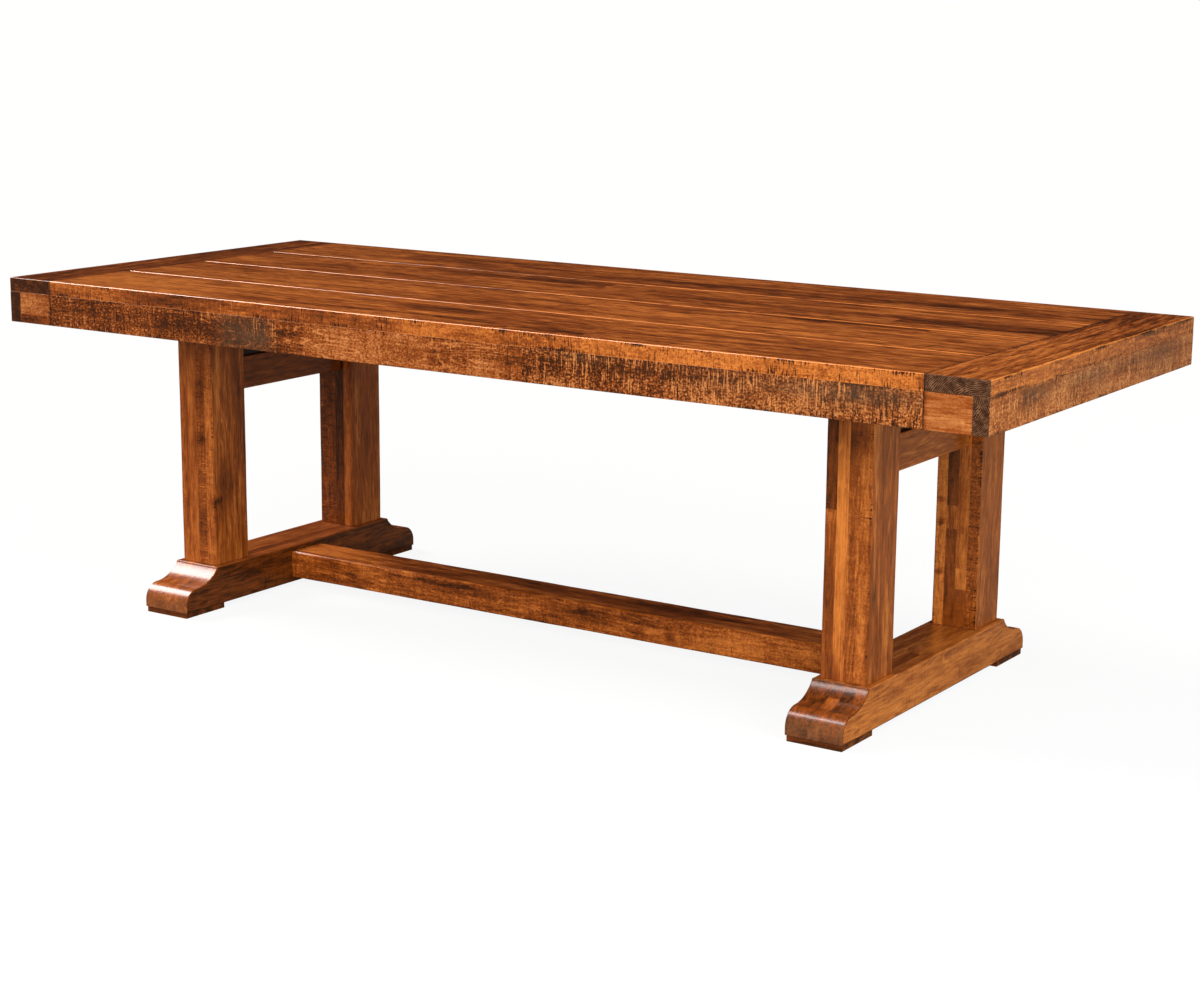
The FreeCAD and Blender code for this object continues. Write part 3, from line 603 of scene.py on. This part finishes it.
boardLook = {
    "radii": 0.0012,  # of all corners, or of ++, -+, --, +- of across and through
    "bevel": (0, 0, 0, 0),  # how flat each corner is cut
    "endEase": 0.0008, "wear": 0.25, "waveLength": 0.32, "stationGap": 0.04, "seed": 1,
    "guard": 0.007,  # strip beside each rounded edge
    "cells": (3, 2),  # grid marks across and through
    "staves": None, "tone": 0.0,  # strips, or the tone of a board that is one strip
    "sawn": 0.0,  # all faces, or +across, +through, -across, -through
    "darkSpots": [], "hazeSpots": [],  # middle, reach and strength; the second list is spots of painted sheen
    "endTone": 0.0,  # how pale the cut ends are
    "cutShare": 1.0,  # how much of the end-grain look they show
    "endPart": 0.95,  # share of the eased end that counts as cut
    "endSeeds": (0.3, 0.6),
}


def makeBoard(name, low, high, axes, material, node, slot, **changes):
    # A rounded rectangle carried along the grain. Each end shrinks along a quarter circle, and every
    # corner radius swells and fades with a slow wave of its own.
    look = {**boardLook, **changes}
    low, high = np.array(low, float), np.array(high, float)
    along, across, through = axes
    middle, half = (low + high) / 2, (high - low) / 2
    length = 2 * half[along]
    radii, ease, guard = np.broadcast_to(look["radii"], 4), look["endEase"], look["guard"]
    staves = look["staves"] or [strip(1.0, [look["tone"]])]
    widths = np.cumsum([stave["width"] for stave in staves])
    cuts = half[across] * (2 * widths[:-1] / widths[-1] - 1)
    splits = [length * share for stave in staves for share in stave["splits"]]
    marks = (gridMarks(half[axis], radii.max(), cells, guard, lines)
             for axis, cells, lines in zip(axes[1:], look["cells"], (cuts, [])))
    spots, reaches, outs, shares = roundedLoop(*marks, look["bevel"])
    stations, shrink, lean = easedStations(length, ease, guard, look["stationGap"], splits)

    swell = np.stack([smoothWave(stations, look["seed"] * 7 + k, look["waveLength"]) for k in range(4)], 1)
    radius = np.maximum((radii * (1 + look["wear"] * swell)) @ shares.T, shrink[:, None])
    flat = spots * (half[[across, through]] - radius[..., None])
    flat = flat + reaches * (radius - shrink[:, None])[..., None]
    points, normals, quads, caps = carryAlong(axes, stations - half[along], lean, flat, outs)
    centres = points[quads].mean(1)
    sideways = (centres[:, across] / half[across] + 1) / 2
    staves = staveFacts(staves, sideways, centres[:, along] + half[along], length, look["seed"])
    faceOut = outs + np.roll(outs, -1, 0)
    side = np.argmax(np.concatenate([faceOut, -faceOut], 1), 1)
    sawn = np.tile(np.broadcast_to(look["sawn"], 4)[side], len(stations) - 1) * staves[:, 2]
    staves[:, 2] = look["cutShare"] * (np.abs(centres[:, along]) > half[along] - ease * look["endPart"])
    onArc = (np.abs(spots) > 1 - slack / half.min()).all(1)
    place = points + middle
    facts = {
        "grain": points[:, [along, across, through]],
        "marks": np.stack((np.maximum(onArc[None, :], (shrink > 0)[:, None]).ravel(),
                           # The third mark is painted sheen, from its own list of spots
                           softSpots(place, look["darkSpots"]), softSpots(place, look["hazeSpots"])), 1),
        "stave": np.concatenate([
            staves, [(seed, look["endTone"], look["cutShare"]) for seed in look["endSeeds"]]]),
        "sawn": np.concatenate([sawn, (0, 0)]),
    }
    finishPiece(name, place, quads, caps, normals, facts, material, node)


# Places read from the frame
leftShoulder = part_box("left_breadboard")[1][0]
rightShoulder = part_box("right_breadboard")[0][0]
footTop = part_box("left_foot")[1][2]
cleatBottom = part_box("left_cleat")[0][2]
seam = 0.001  # metres left open at each joint, so that the line between two boards shows
topBevel = (0.7, 0.7, 0, 0)  # both upper edges of a board cut nearly flat


# Top planks, front to back. Face spots, on the front of the first, have a place, a reach and a strength.
plankLook = {
    "frontRound": 0.0013, "jointRound": 0.003, "underRound": 0.0008,
    "jointDark": 2.0,  # stain gathered on the back side of each joint
    "endDark": 3.0,  # and where a plank meets a breadboard
    "endReach": 0.0012, "faceReach": 0.003,
    "outerSawn": 1.2,  # saw share of the long outer faces
    "top_plank_1": {
        "staves": [strip(84, [-0.02, -0.09, 0.0], [0.574, 0.656], [0.75, 1.0, 1.0]), strip(93),
                   strip(78, [0.02])],
        "spots": [(-0.9, -0.4, 0.28, 0.14, -1.1), (-0.76, -0.317, 0.045, 0.022, 0.9),
                  (-0.06, -0.345, 0.13, 0.028, 1.2), (-0.25, -0.445, 0.45, 0.018, 0.5),
                  (0.25, -0.455, 0.08, 0.018, 0.8), (0.75, -0.36, 0.3, 0.06, 0.25)],
        "faceSpots": [(-0.72, 0.25, 0.95), (-1.06, 0.05, 0.3), (-0.24, 0.14, 0.2), (0.62, 0.42, -0.6),
                      (-0.02, 0.06, -0.4), (1.0, 0.1, -0.2)]},
    "top_plank_2": {
        "staves": [strip(90), strip(110, [0.0, 0.05], [0.549]), strip(54, [0.0, 0.1], [0.897])],
        "spots": [
            (-0.95, -0.15, 0.2, 0.09, -0.4), (-0.5, -0.13, 0.25, 0.09, -0.4),
            (-0.9, -0.066, 0.13, 0.025, 0.6), (0.7, -0.028, 0.13, 0.03, 1.2),
            (0.33, -0.062, 0.03, 0.03, 0.8), (0.36, -0.21, 0.05, 0.025, 0.7),
            (0.08, -0.155, 0.012, 0.035, 0.7), (-0.2, -0.014, 0.06, 0.012, 0.8)]},
    "top_plank_3": {
        "staves": [strip(60), strip(105, [0.0, -0.1], [0.84]),
                   strip(89, [0.0, -0.14, 0.04], [0.371, 0.484])],
        "spots": [
            (-1.0, 0.13, 0.13, 0.1, -0.4), (-0.2, 0.012, 0.07, 0.018, 0.9), (0.95, 0.11, 0.24, 0.045, 1.5),
            (-0.74, 0.118, 0.17, 0.035, 0.7), (-0.33, 0.2, 0.26, 0.035, 0.8), (0.65, 0.19, 0.4, 0.03, -0.1),
            (0.55, 0.245, 0.35, 0.012, 0.4), (0.35, 0.12, 0.3, 0.09, 0.35)]},
    "top_plank_4": {
        "staves": [strip(76, [-0.02]), strip(90), strip(88, [0.02])],
        "spots": [
            (-0.91, 0.4, 0.2, 0.08, -0.4), (-0.45, 0.375, 0.2, 0.035, 1.3), (0.15, 0.325, 0.36, 0.04, 0.8),
            (0.85, 0.335, 0.25, 0.04, 1.0), (0.6, 0.455, 0.45, 0.03, -0.1), (-0.35, 0.27, 0.3, 0.02, 0.5),
            (0.52, 0.38, 0.24, 0.09, 0.35)]},
}


def makePlanks(look):
    joint, outer, under = look["jointRound"], look["frontRound"], look["underRound"]
    for number in (1, 2, 3, 4):
        node = "top_plank_%d" % number
        board = look[node]
        low, high = boxCorners(node)
        low[0], high[0] = leftShoulder + seam, rightShoulder - seam
        back, near = outer if number == 4 else joint, outer if number == 1 else joint
        spots = list(board["spots"])
        spots += [(x, low[1], reach, look["faceReach"], dark)
                  for x, reach, dark in board.get("faceSpots", [])]
        if number < 4:
            spots.append((0.0, high[1], endless, joint, look["jointDark"]))
        spots += [(x, 0.0, look["endReach"], endless, look["endDark"]) for x in (leftShoulder, rightShoulder)]
        sawn = (look["outerSawn"] * (number == 4), 0.0, look["outerSawn"] * (number == 1), 0.0)
        makeBoard("topPlank%d" % number, low, high, (0, 1, 2), topWood, node, "top_wood",
                  radii=(back, near, under, under), bevel=topBevel, endEase=0.0006, wear=0.12,
                  staves=board["staves"], darkSpots=spotsOn(2, high[2], deep, spots), sawn=sawn,
                  cells=(24, 2), stationGap=0.025, guard=0.011, seed=number)


makePlanks(plankLook)
print("top: four planks")


# Breadboard ends, their grain across the planks. A spot is its place and reach along Y, and its strength.
breadboardLook = {
    "round": 0.002,  # radius of the outer edge
    "joint": 0.0008,  # radius of the others, and reach of the stain gathered at the joint
    "jointDark": 2.5, "endEase": 0.0016,
    "outerReach": (0.02, 0.003),  # how deep spots at the joint below go in, and how far up
    "topReach": 0.01,  # how far spots on the top go down
    "tones": {"left": -0.22, "right": 0.02},
    "ends": {"left": (-0.95, 0.5), "right": (0.0, 1.0)},  # how pale they are, and their end-grain share
    "outerDark": {"left": [], "right": [(-0.455, 0.06, 1.6)]},  # the joint below stands open near the corner
    "topDark": {"left": [], "right": [(-0.36, 0.22, -0.2), (0.32, 0.22, 0.6)]},
}


def makeBreadboards(look):
    for side, sign in (("left", -1), ("right", 1)):
        node = side + "_breadboard"
        low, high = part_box(node)
        outer, inner = look["round"], look["joint"]
        plus, minus = (outer, inner) if sign > 0 else (inner, outer)
        inside, outside = (low[0], high[0])[::sign]
        endTone, cutShare = look["ends"][side]
        depth, rise = look["outerReach"]
        outerSpots = [(y, low[2], reach, rise, dark) for y, reach, dark in look["outerDark"][side]]
        topSpots = [(y, high[2], reach, look["topReach"], dark) for y, reach, dark in look["topDark"][side]]
        spots = spotsOn(0, outside, depth, outerSpots) + spotsOn(0, outside, deep, topSpots)
        spots.append(((inside, 0.0, high[2]), (inner, endless, deep), look["jointDark"]))
        makeBoard(side + "Breadboard", low, high, (1, 0, 2), topWood, node, "top_wood",
                  radii=(plus, minus, inner, inner), bevel=topBevel, cells=(6, 4), seed=11 + sign,
                  tone=look["tones"][side], darkSpots=spots,
                  endTone=endTone, cutShare=cutShare, endEase=look["endEase"], sawn=(1.0, 0.0, 1.0, 0.0))


makeBreadboards(breadboardLook)
print("top: two breadboards")


# Built-up edge: skirts along the sides, end skirts, and the short corner returns
edgeLook = {
    "radii": (0.0005, 0.0012, 0.0012, 0.0005),  # tight against the layer above, eased below
    "frontDark": [
        (-0.93, 0.7, 0.17, 0.04, 0.7), (-0.51, 0.695, 0.07, 0.06, 1.1), (-0.71, 0.71, 0.06, 0.03, 1.0),
        (-0.62, 0.705, 0.05, 0.035, 0.7), (-0.45, 0.705, 0.03, 0.04, 0.6), (-0.39, 0.69, 0.05, 0.05, 1.0),
        (-0.17, 0.69, 0.1, 0.06, -0.3), (0.01, 0.712, 0.08, 0.022, 0.7), (0.1, 0.68, 0.05, 0.03, -0.3),
        (0.33, 0.714, 0.14, 0.028, 1.2), (0.42, 0.69, 0.1, 0.05, 0.6), (0.62, 0.714, 0.16, 0.024, 0.6),
        (0.95, 0.714, 0.18, 0.024, 0.4), (-0.9, 0.668, 0.2, 0.01, 0.3)],
    # Patches of painted sheen, grey over the stain, on the front skirt and the right end skirt
    "frontSheen": [
        *((x, 0.695, 0.03, 0.06, 0.85) for x in (-0.56, -0.51, -0.46)),
        (0.36, 0.725, 0.06, 0.015, 0.5), (0.75, 0.715, 0.2, 0.018, 0.5), (0.98, 0.715, 0.12, 0.02, 0.7),
        (0.76, 0.68, 0.25, 0.03, 0.22)],
    "rightDark": [
        (-0.31, 0.71, 0.07, 0.02, 0.6), (0.33, 0.7, 0.1, 0.04, 0.15), (-0.19, 0.68, 0.08, 0.014, -0.3),
        (0.11, 0.678, 0.1, 0.016, -0.6), (-0.455, 0.731, 0.06, 0.003, 1.6)],
    "rightSheen": [
        (-0.31, 0.71, 0.07, 0.025, 0.5), (-0.02, 0.705, 0.08, 0.03, 0.4), (0.33, 0.7, 0.11, 0.04, 0.4),
        (0.05, 0.714, 0.4, 0.018, 0.35)],
    "spotDepth": 0.1,
    "sideRuns": strip(1.0, [-0.05, 0.0, -0.04], [0.308, 0.6], [1.1, 0.75, 1.35]),
    "ends": {"left": (-0.6, 0.5), "right": (0.0, 1.0)},
    "jointDark": 1.0,  # stain gathered where a skirt meets its corner return
    "jointReach": (0.0015, 0.02),  # along the skirt, and into it
    "jointHeight": 0.7, "jointGap": 0.0012,
    "returns": {"front_left": (0.0, 0.6), "front_right": (0.02, 0.2),  # tone and saw share
                "back_left": (0.08, 0.4), "back_right": (0.08, 0.4)},
    "returnDark": {"front_left": [(-1.155, 0.67, 0.06, 0.013, 0.9)]},
}


def makeEdge(look):
    alongReach, intoReach = look["jointReach"]
    height, dark = look["jointHeight"], look["jointDark"]
    joints = [((sign * rightShoulder, y, height), (alongReach, intoReach, deep), dark)
              for sign in (-1, 1) for y in (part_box("front_skirt")[0][1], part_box("back_skirt")[1][1])]
    depth = look["spotDepth"]
    fine = {"cells": (6, 2), "stationGap": 0.02, "sawn": 1.0, "radii": look["radii"]}
    for side, seed in (("front", 21), ("back", 22)):
        node = side + "_skirt"
        low, high = boxCorners(node)
        low[0], high[0] = low[0] + look["jointGap"], high[0] - look["jointGap"]
        # Dark spots and spots of painted sheen for this face
        dark, haze = (spotsOn(1, low[1], depth, look.get(side + kind, [])) for kind in ("Dark", "Sheen"))
        makeBoard(side + "Skirt", low, high, (0, 2, 1), edgeWood, node, "edge_wood", seed=seed,
                  staves=[look["sideRuns"]], darkSpots=dark + joints, hazeSpots=haze, **fine)
    for side, seed in (("left", 23), ("right", 24)):
        node = side + "_end_skirt"
        low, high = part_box(node)
        endTone, cutShare = look["ends"][side]
        dark, haze = (spotsOn(0, high[0], depth, look.get(side + kind, [])) for kind in ("Dark", "Sheen"))
        makeBoard(side + "EndSkirt", low, high, (1, 2, 0), endWood, node, "edge_wood", seed=seed,
                  darkSpots=dark, hazeSpots=haze, endTone=endTone, cutShare=cutShare, **fine)
    for index, (corner, (tone, sawn)) in enumerate(look["returns"].items()):
        node = corner + "_corner_return"
        low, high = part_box(node)
        face, side = corner.split("_")
        dark = spotsOn(1, low[1], depth, look["returnDark"].get(corner, []))
        makeBoard(face + side.title() + "Return", low, high, (0, 2, 1), edgeWood, node, "edge_wood",
                  seed=31 + index, tone=tone, darkSpots=dark + joints, **{**fine, "sawn": sawn})


makeEdge(edgeLook)
print("edge: four skirts and four returns")


# Posts glued up from four strips each, the rails between them and the stretcher between the feet
pedestalLook = {
    "postRound": 0.0025, "railRound": 0.002, "beamRound": 0.003,
    # tone and saw share of each strip, from -X to +X
    "strips": {
        "left_front": ([0.04, 0.06, -0.08, 0.12], [0.3, 0.3, 1.4, 1.0]),
        # The left back post's deep third strip tone is painted shade under the top
        "left_back": ([-0.18, -0.24, -0.36, 0.0], [1.5, 1.5, 0.6, 0.3]),
        "right_front": ([-0.2, 0.31, 0.02, 0.1], [0.4, 0.3, 0.9, 1.0]),
        "right_back": ([0.18, -0.24, 0.08, -0.14], [0.9, 0.6, 0.5, 1.6]),
    },
    # heights in metres where a strip changes, and its tones from below
    "breaks": {
        "right_front": {0: ([0.443], [-0.12, -0.36])},
        "right_back": {1: ([0.291, 0.314, 0.364], [-0.16, -0.36, -0.12, -0.36]),
                       2: ([0.185, 0.23], [0.0, 0.18, 0.08])},
    },
    # spots on the front of a post
    "postDark": {
        "left_front": [(-0.832, 0.52, 0.014, 0.04, 0.8), (-0.832, 0.398, 0.013, 0.014, 1.1),
                       (-0.832, 0.195, 0.014, 0.034, 0.9)],
        # painted shade darkening the left back post's whole front under the top
        "left_back": [(-0.86, 0.4, 0.05, 0.2, 0.3)],
        "right_front": [
            (0.832, 0.1, 0.016, 0.09, 1.3), (0.806, 0.428, 0.014, 0.012, -0.7),
            (0.806, 0.28, 0.014, 0.09, 0.3), (0.832, 0.62, 0.013, 0.09, 0.45),
            (0.857, 0.22, 0.012, 0.13, 0.6), (0.883, 0.24, 0.012, 0.08, -0.2)],
        "right_back": [(0.806, 0.375, 0.011, 0.004, 1.3), (0.806, 0.325, 0.009, 0.004, 1.2),
                       (0.806, 0.219, 0.01, 0.005, 1.2)],
    },
    "postDepth": 0.01,
    # spots on other faces and round corners: middle, reach and strength
    "postMarks": {
        "left_front": [
            # painted shadow of the top across the upper end of the post's front
            ((-0.84, -0.305, 0.665), (0.2, 0.02, 0.03), 0.5),
            ((-0.792, -0.25, 0.4), (0.006, 0.2, 0.5), 0.6),
            ((-0.794, -0.295, 0.25), (0.012, 0.014, 0.007), 1.5)],
        "right_front": [((0.896, -0.25, 0.2), (0.006, 0.2, 0.5), 0.5),
                        # painted shadow of the top on the upper end of the outer strips
                        ((0.868, -0.305, 0.58), (0.026, 0.02, 0.03), 1.0)],
        "right_back": [((0.896, 0.25, 0.4), (0.006, 0.2, 0.5), -0.25)],
    },
    "railTones": {"left": -0.22, "right": -0.02},
    "beamFront": [
        (-0.655, 0.077, 0.05, 0.012, 1.1), (-0.6, 0.057, 0.008, 0.03, 1.2), (-0.3, 0.075, 0.12, 0.012, 0.9),
        (0.25, 0.07, 0.2, 0.015, 0.4), (0.055, 0.06, 0.045, 0.022, 0.65), (0.2, 0.055, 0.012, 0.03, 0.9),
        (0.29, 0.045, 0.007, 0.009, 1.4), (0.47, 0.055, 0.14, 0.04, -0.8), (-0.5, 0.055, 0.1, 0.04, 0.45),
        (0.75, 0.055, 0.06, 0.04, 0.4)],
    # Painted light and shade on the stretcher's top: paler at its left end, darker further in under the top
    "beamTopLightAndShade": [
        (0.3, 0.01, 0.65, 0.055, 0.6), (-0.32, 0.01, 0.18, 0.055, 0.45), (-0.7, 0.0, 0.12, 0.06, -0.6)],
    "beamDepths": (0.02, 0.007),
}


def makePedestals(look):
    for index, (place, (tones, sawn)) in enumerate(look["strips"].items()):
        node = place + "_post"
        low, high = boxCorners(node)
        low[2], high[2] = footTop, cleatBottom
        staves = [strip(1.0, [tone], sawn=share) for tone, share in zip(tones, sawn)]
        for number, (heights, changed) in look["breaks"].get(place, {}).items():
            splits = [(height - footTop) / (cleatBottom - footTop) for height in heights]
            staves[number].update(splits=splits, tones=changed)
        side, depth = place.split("_")
        spots = spotsOn(1, low[1], look["postDepth"], look["postDark"][place])
        spots += look["postMarks"].get(place, [])
        makeBoard(side + depth.title() + "Post", low, high, (2, 0, 1), baseWood, node, "base_wood",
                  radii=look["postRound"], staves=staves, seed=50 + index, sawn=(0.1, 0.6, 0.1, 0.6),
                  darkSpots=spots, cells=(8, 6), stationGap=0.012)
    for side, tone in look["railTones"].items():
        node = side + "_rail"
        low, high = boxCorners(node)
        low[1], high[1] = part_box(side + "_front_post")[1][1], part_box(side + "_back_post")[0][1]
        makeBoard(side + "Rail", low, high, (1, 2, 0), baseWood, node, "base_wood",
                  radii=look["railRound"], seed=61, tone=tone)
    low, high = boxCorners("stretcher")
    low[0], high[0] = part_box("left_foot")[1][0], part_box("right_foot")[0][0]
    frontDepth, topDepth = look["beamDepths"]
    spots = spotsOn(1, low[1], frontDepth, look["beamFront"]) + spotsOn(2, high[2], topDepth, look["beamTopLightAndShade"])
    makeBoard("stretcherBeam", low, high, (0, 1, 2), beamWood, "stretcher", "base_wood",
              radii=look["beamRound"], bevel=topBevel, seed=63, darkSpots=spots,
              sawn=(0.6, 0.1, 0.6, 0.1), cells=(6, 6), stationGap=0.02)


makePedestals(pedestalLook)
print("pedestals: four posts, two rails and the stretcher")


# Feet: an ogee outline in Y and Z, carried across X
footLook = {
    "noseRound": 0.0025, "noseLand": 0.004, "coveRun": 0.067, "coveDrop": 0.032, "soleRound": 0.0012,
    "toeRadius": 0.0378, "toeSweep": 88,  # degrees
    "sideRound": 0.002, "guard": 0.006, "stationGap": 0.02,
    "steps": {"line": 8, "sole": 4, "toe": 16, "cove": 18, "nose": 6},
    "toeFacing": (0.75, 0.2),  # how squarely a toe must face outward for its look to start, and to be full
    "cutShare": 0.15,  # how much of the cut-end look the toes show
    "toeSheen": 0.14,  # and how much of the painted sheen, a pale grey gloss on them
    # strips from -X to +X, each as tones and where they change along the foot
    "strips": {
        "left": [([-0.02, -0.08, 0.0], [0.05, 0.3]), ([-0.02, 0.02], [0.05]),
                 ([-0.02, -0.1, 0.02, 0.0], [0.05, 0.3, 0.7]), ([-0.02, -0.24, 0.0], [0.05, 0.75]),
                 ([-0.02, -0.12], [0.05])],
        "right": [([-0.27, -0.36, 0.05], [0.04, 0.14]), ([-0.27, -0.34, 0.07], [0.04, 0.14]),
                  ([-0.27, 0.02, -0.34, 0.05], [0.05, 0.095, 0.14]),
                  ([-0.27, -0.44, -0.14, 0.05], [0.04, 0.12, 0.45]), ([-0.27, -0.28, 0.12], [0.04, 0.14])],
    },
    "sideTones": {"left": (-0.1, -0.46), "right": (0.0, 0.09)},  # of the sides to -X and +X
    "stripSeed": 70, "sideSeeds": (0.2, 0.8), "sideSawn": 0.15,
}


def arcPoints(centre, radius, start, end, steps, hollow=False):
    # Points on a circle between two angles in degrees, and the way out, which is inward in a hollow
    turn = np.radians(np.linspace(start, end, steps))
    out = np.stack((np.cos(turn), np.sin(turn)), 1)
    return np.array(centre) + radius * out, -out if hollow else out


def footOutline(look, reach, bottom, top):
    # Half the outline from the middle of the sole round the toe, cove and nose, then the same mirrored
    coveRadius = (look["coveRun"] ** 2 + look["coveDrop"] ** 2) / (2 * look["coveDrop"])
    sweep = math.degrees(math.asin(look["coveRun"] / coveRadius))
    waistY, waistZ = reach - look["toeRadius"], top - look["noseLand"] - look["coveDrop"]
    sole, nose, flatY = look["soleRound"], look["noseRound"], waistY - look["coveRun"]
    steps, toe = look["steps"], look["toeRadius"]
    level = np.linspace(0, 1, steps["line"], endpoint=False)
    soleLine = np.stack((level * (reach - sole), np.full(len(level), bottom)), 1)
    topLine = np.stack((level[::-1] * (flatY - nose), np.full(len(level), top)), 1)
    runs = [
        (soleLine, np.tile((0.0, -1.0), (len(level), 1))),
        arcPoints((reach - sole, bottom + sole), sole, -90, 0, steps["sole"]),
        arcPoints((waistY, waistZ - toe), toe, 0, look["toeSweep"], steps["toe"]),
        arcPoints((waistY, waistZ + coveRadius), coveRadius, -90, -90 - sweep, steps["cove"], hollow=True),
        arcPoints((flatY - nose, top - nose), nose, 0, 90, steps["nose"]),
        (topLine, np.tile((0.0, 1.0), (len(level), 1))),
    ]
    halves = (np.concatenate(part) for part in zip(*runs))
    return (np.concatenate([half, (half * (-1.0, 1.0))[-2:0:-1]]) for half in halves)


def makeFoot(side, look):
    # The outline is carried across X, and draws in along a quarter circle at both sides
    node = side + "_foot"
    low, high = boxCorners(node)
    outline, outs = footOutline(look, high[1], low[2], high[2])
    width, length, _ = high - low
    strips = [strip(1.0, tones, splits) for tones, splits in look["strips"][side]]
    cuts = width * np.arange(1, len(strips)) / len(strips)
    stations, shrink, lean = easedStations(width, look["sideRound"], look["guard"], look["stationGap"], cuts)
    flat = outline - shrink[:, None, None] * outs
    points, normals, quads, caps = carryAlong((0, 1, 2), low[0] + stations, lean, flat, outs)
    centres = points[quads].mean(1) - low
    staves = staveFacts(strips, centres[:, 0] / width, centres[:, 1], length, look["stripSeed"])
    start, span = look["toeFacing"]
    # How squarely each point faces outward sets its share of the toes' painted sheen, and each face's share
    # of the cut-end look
    sheenShare, faceShare = (np.clip((np.abs(facing[:, 1]) - start) / span, 0, 1)
                             for facing in (normals, normals[quads].mean(1)))
    staves[:, 2] = look["cutShare"] * faceShare
    sides = [(seed, tone, 0) for seed, tone in zip(look["sideSeeds"], look["sideTones"][side])]
    local = points - (low + high) / 2
    facts = {
        "grain": local[:, [1, 0, 2]],
        "marks": np.stack((np.repeat(shrink > 0, len(outline)), np.zeros(len(points)),
                           look["toeSheen"] * sheenShare), 1),
        "stave": np.concatenate([staves, sides]),
        "sawn": np.concatenate([np.zeros(len(quads)), (look["sideSawn"],) * 2]),
    }
    finishPiece(side + "Foot", points, quads, caps, normals, facts, footWood, node)


makeFoot("left", footLook)
makeFoot("right", footLook)
print("feet: two ogee feet")


# Nodes whose solids already have the right shape keep them and get a finish, by the ending of the name
nodeFinish = [
    (padWood, ("_pad",)), (webShadeWood, ("_web_panel",)),
    (hiddenWood, ("_cleat", "_splines", "_pegs", "_blocks", "_batten")),
    (insertBrass, ("_inserts",)), (fastenerSteel, ("_screws", "_bolts", "_washers", "_nuts")),
]


def dressNodes(finishes):
    dressed = 0
    for node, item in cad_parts.items():
        for material in (finish for finish, endings in finishes if node.endswith(endings)):
            dressed += 1
            for holder in item.material_slots:
                holder.material = material
    print("carried over:", dressed, "nodes")


dressNodes(nodeFinish)
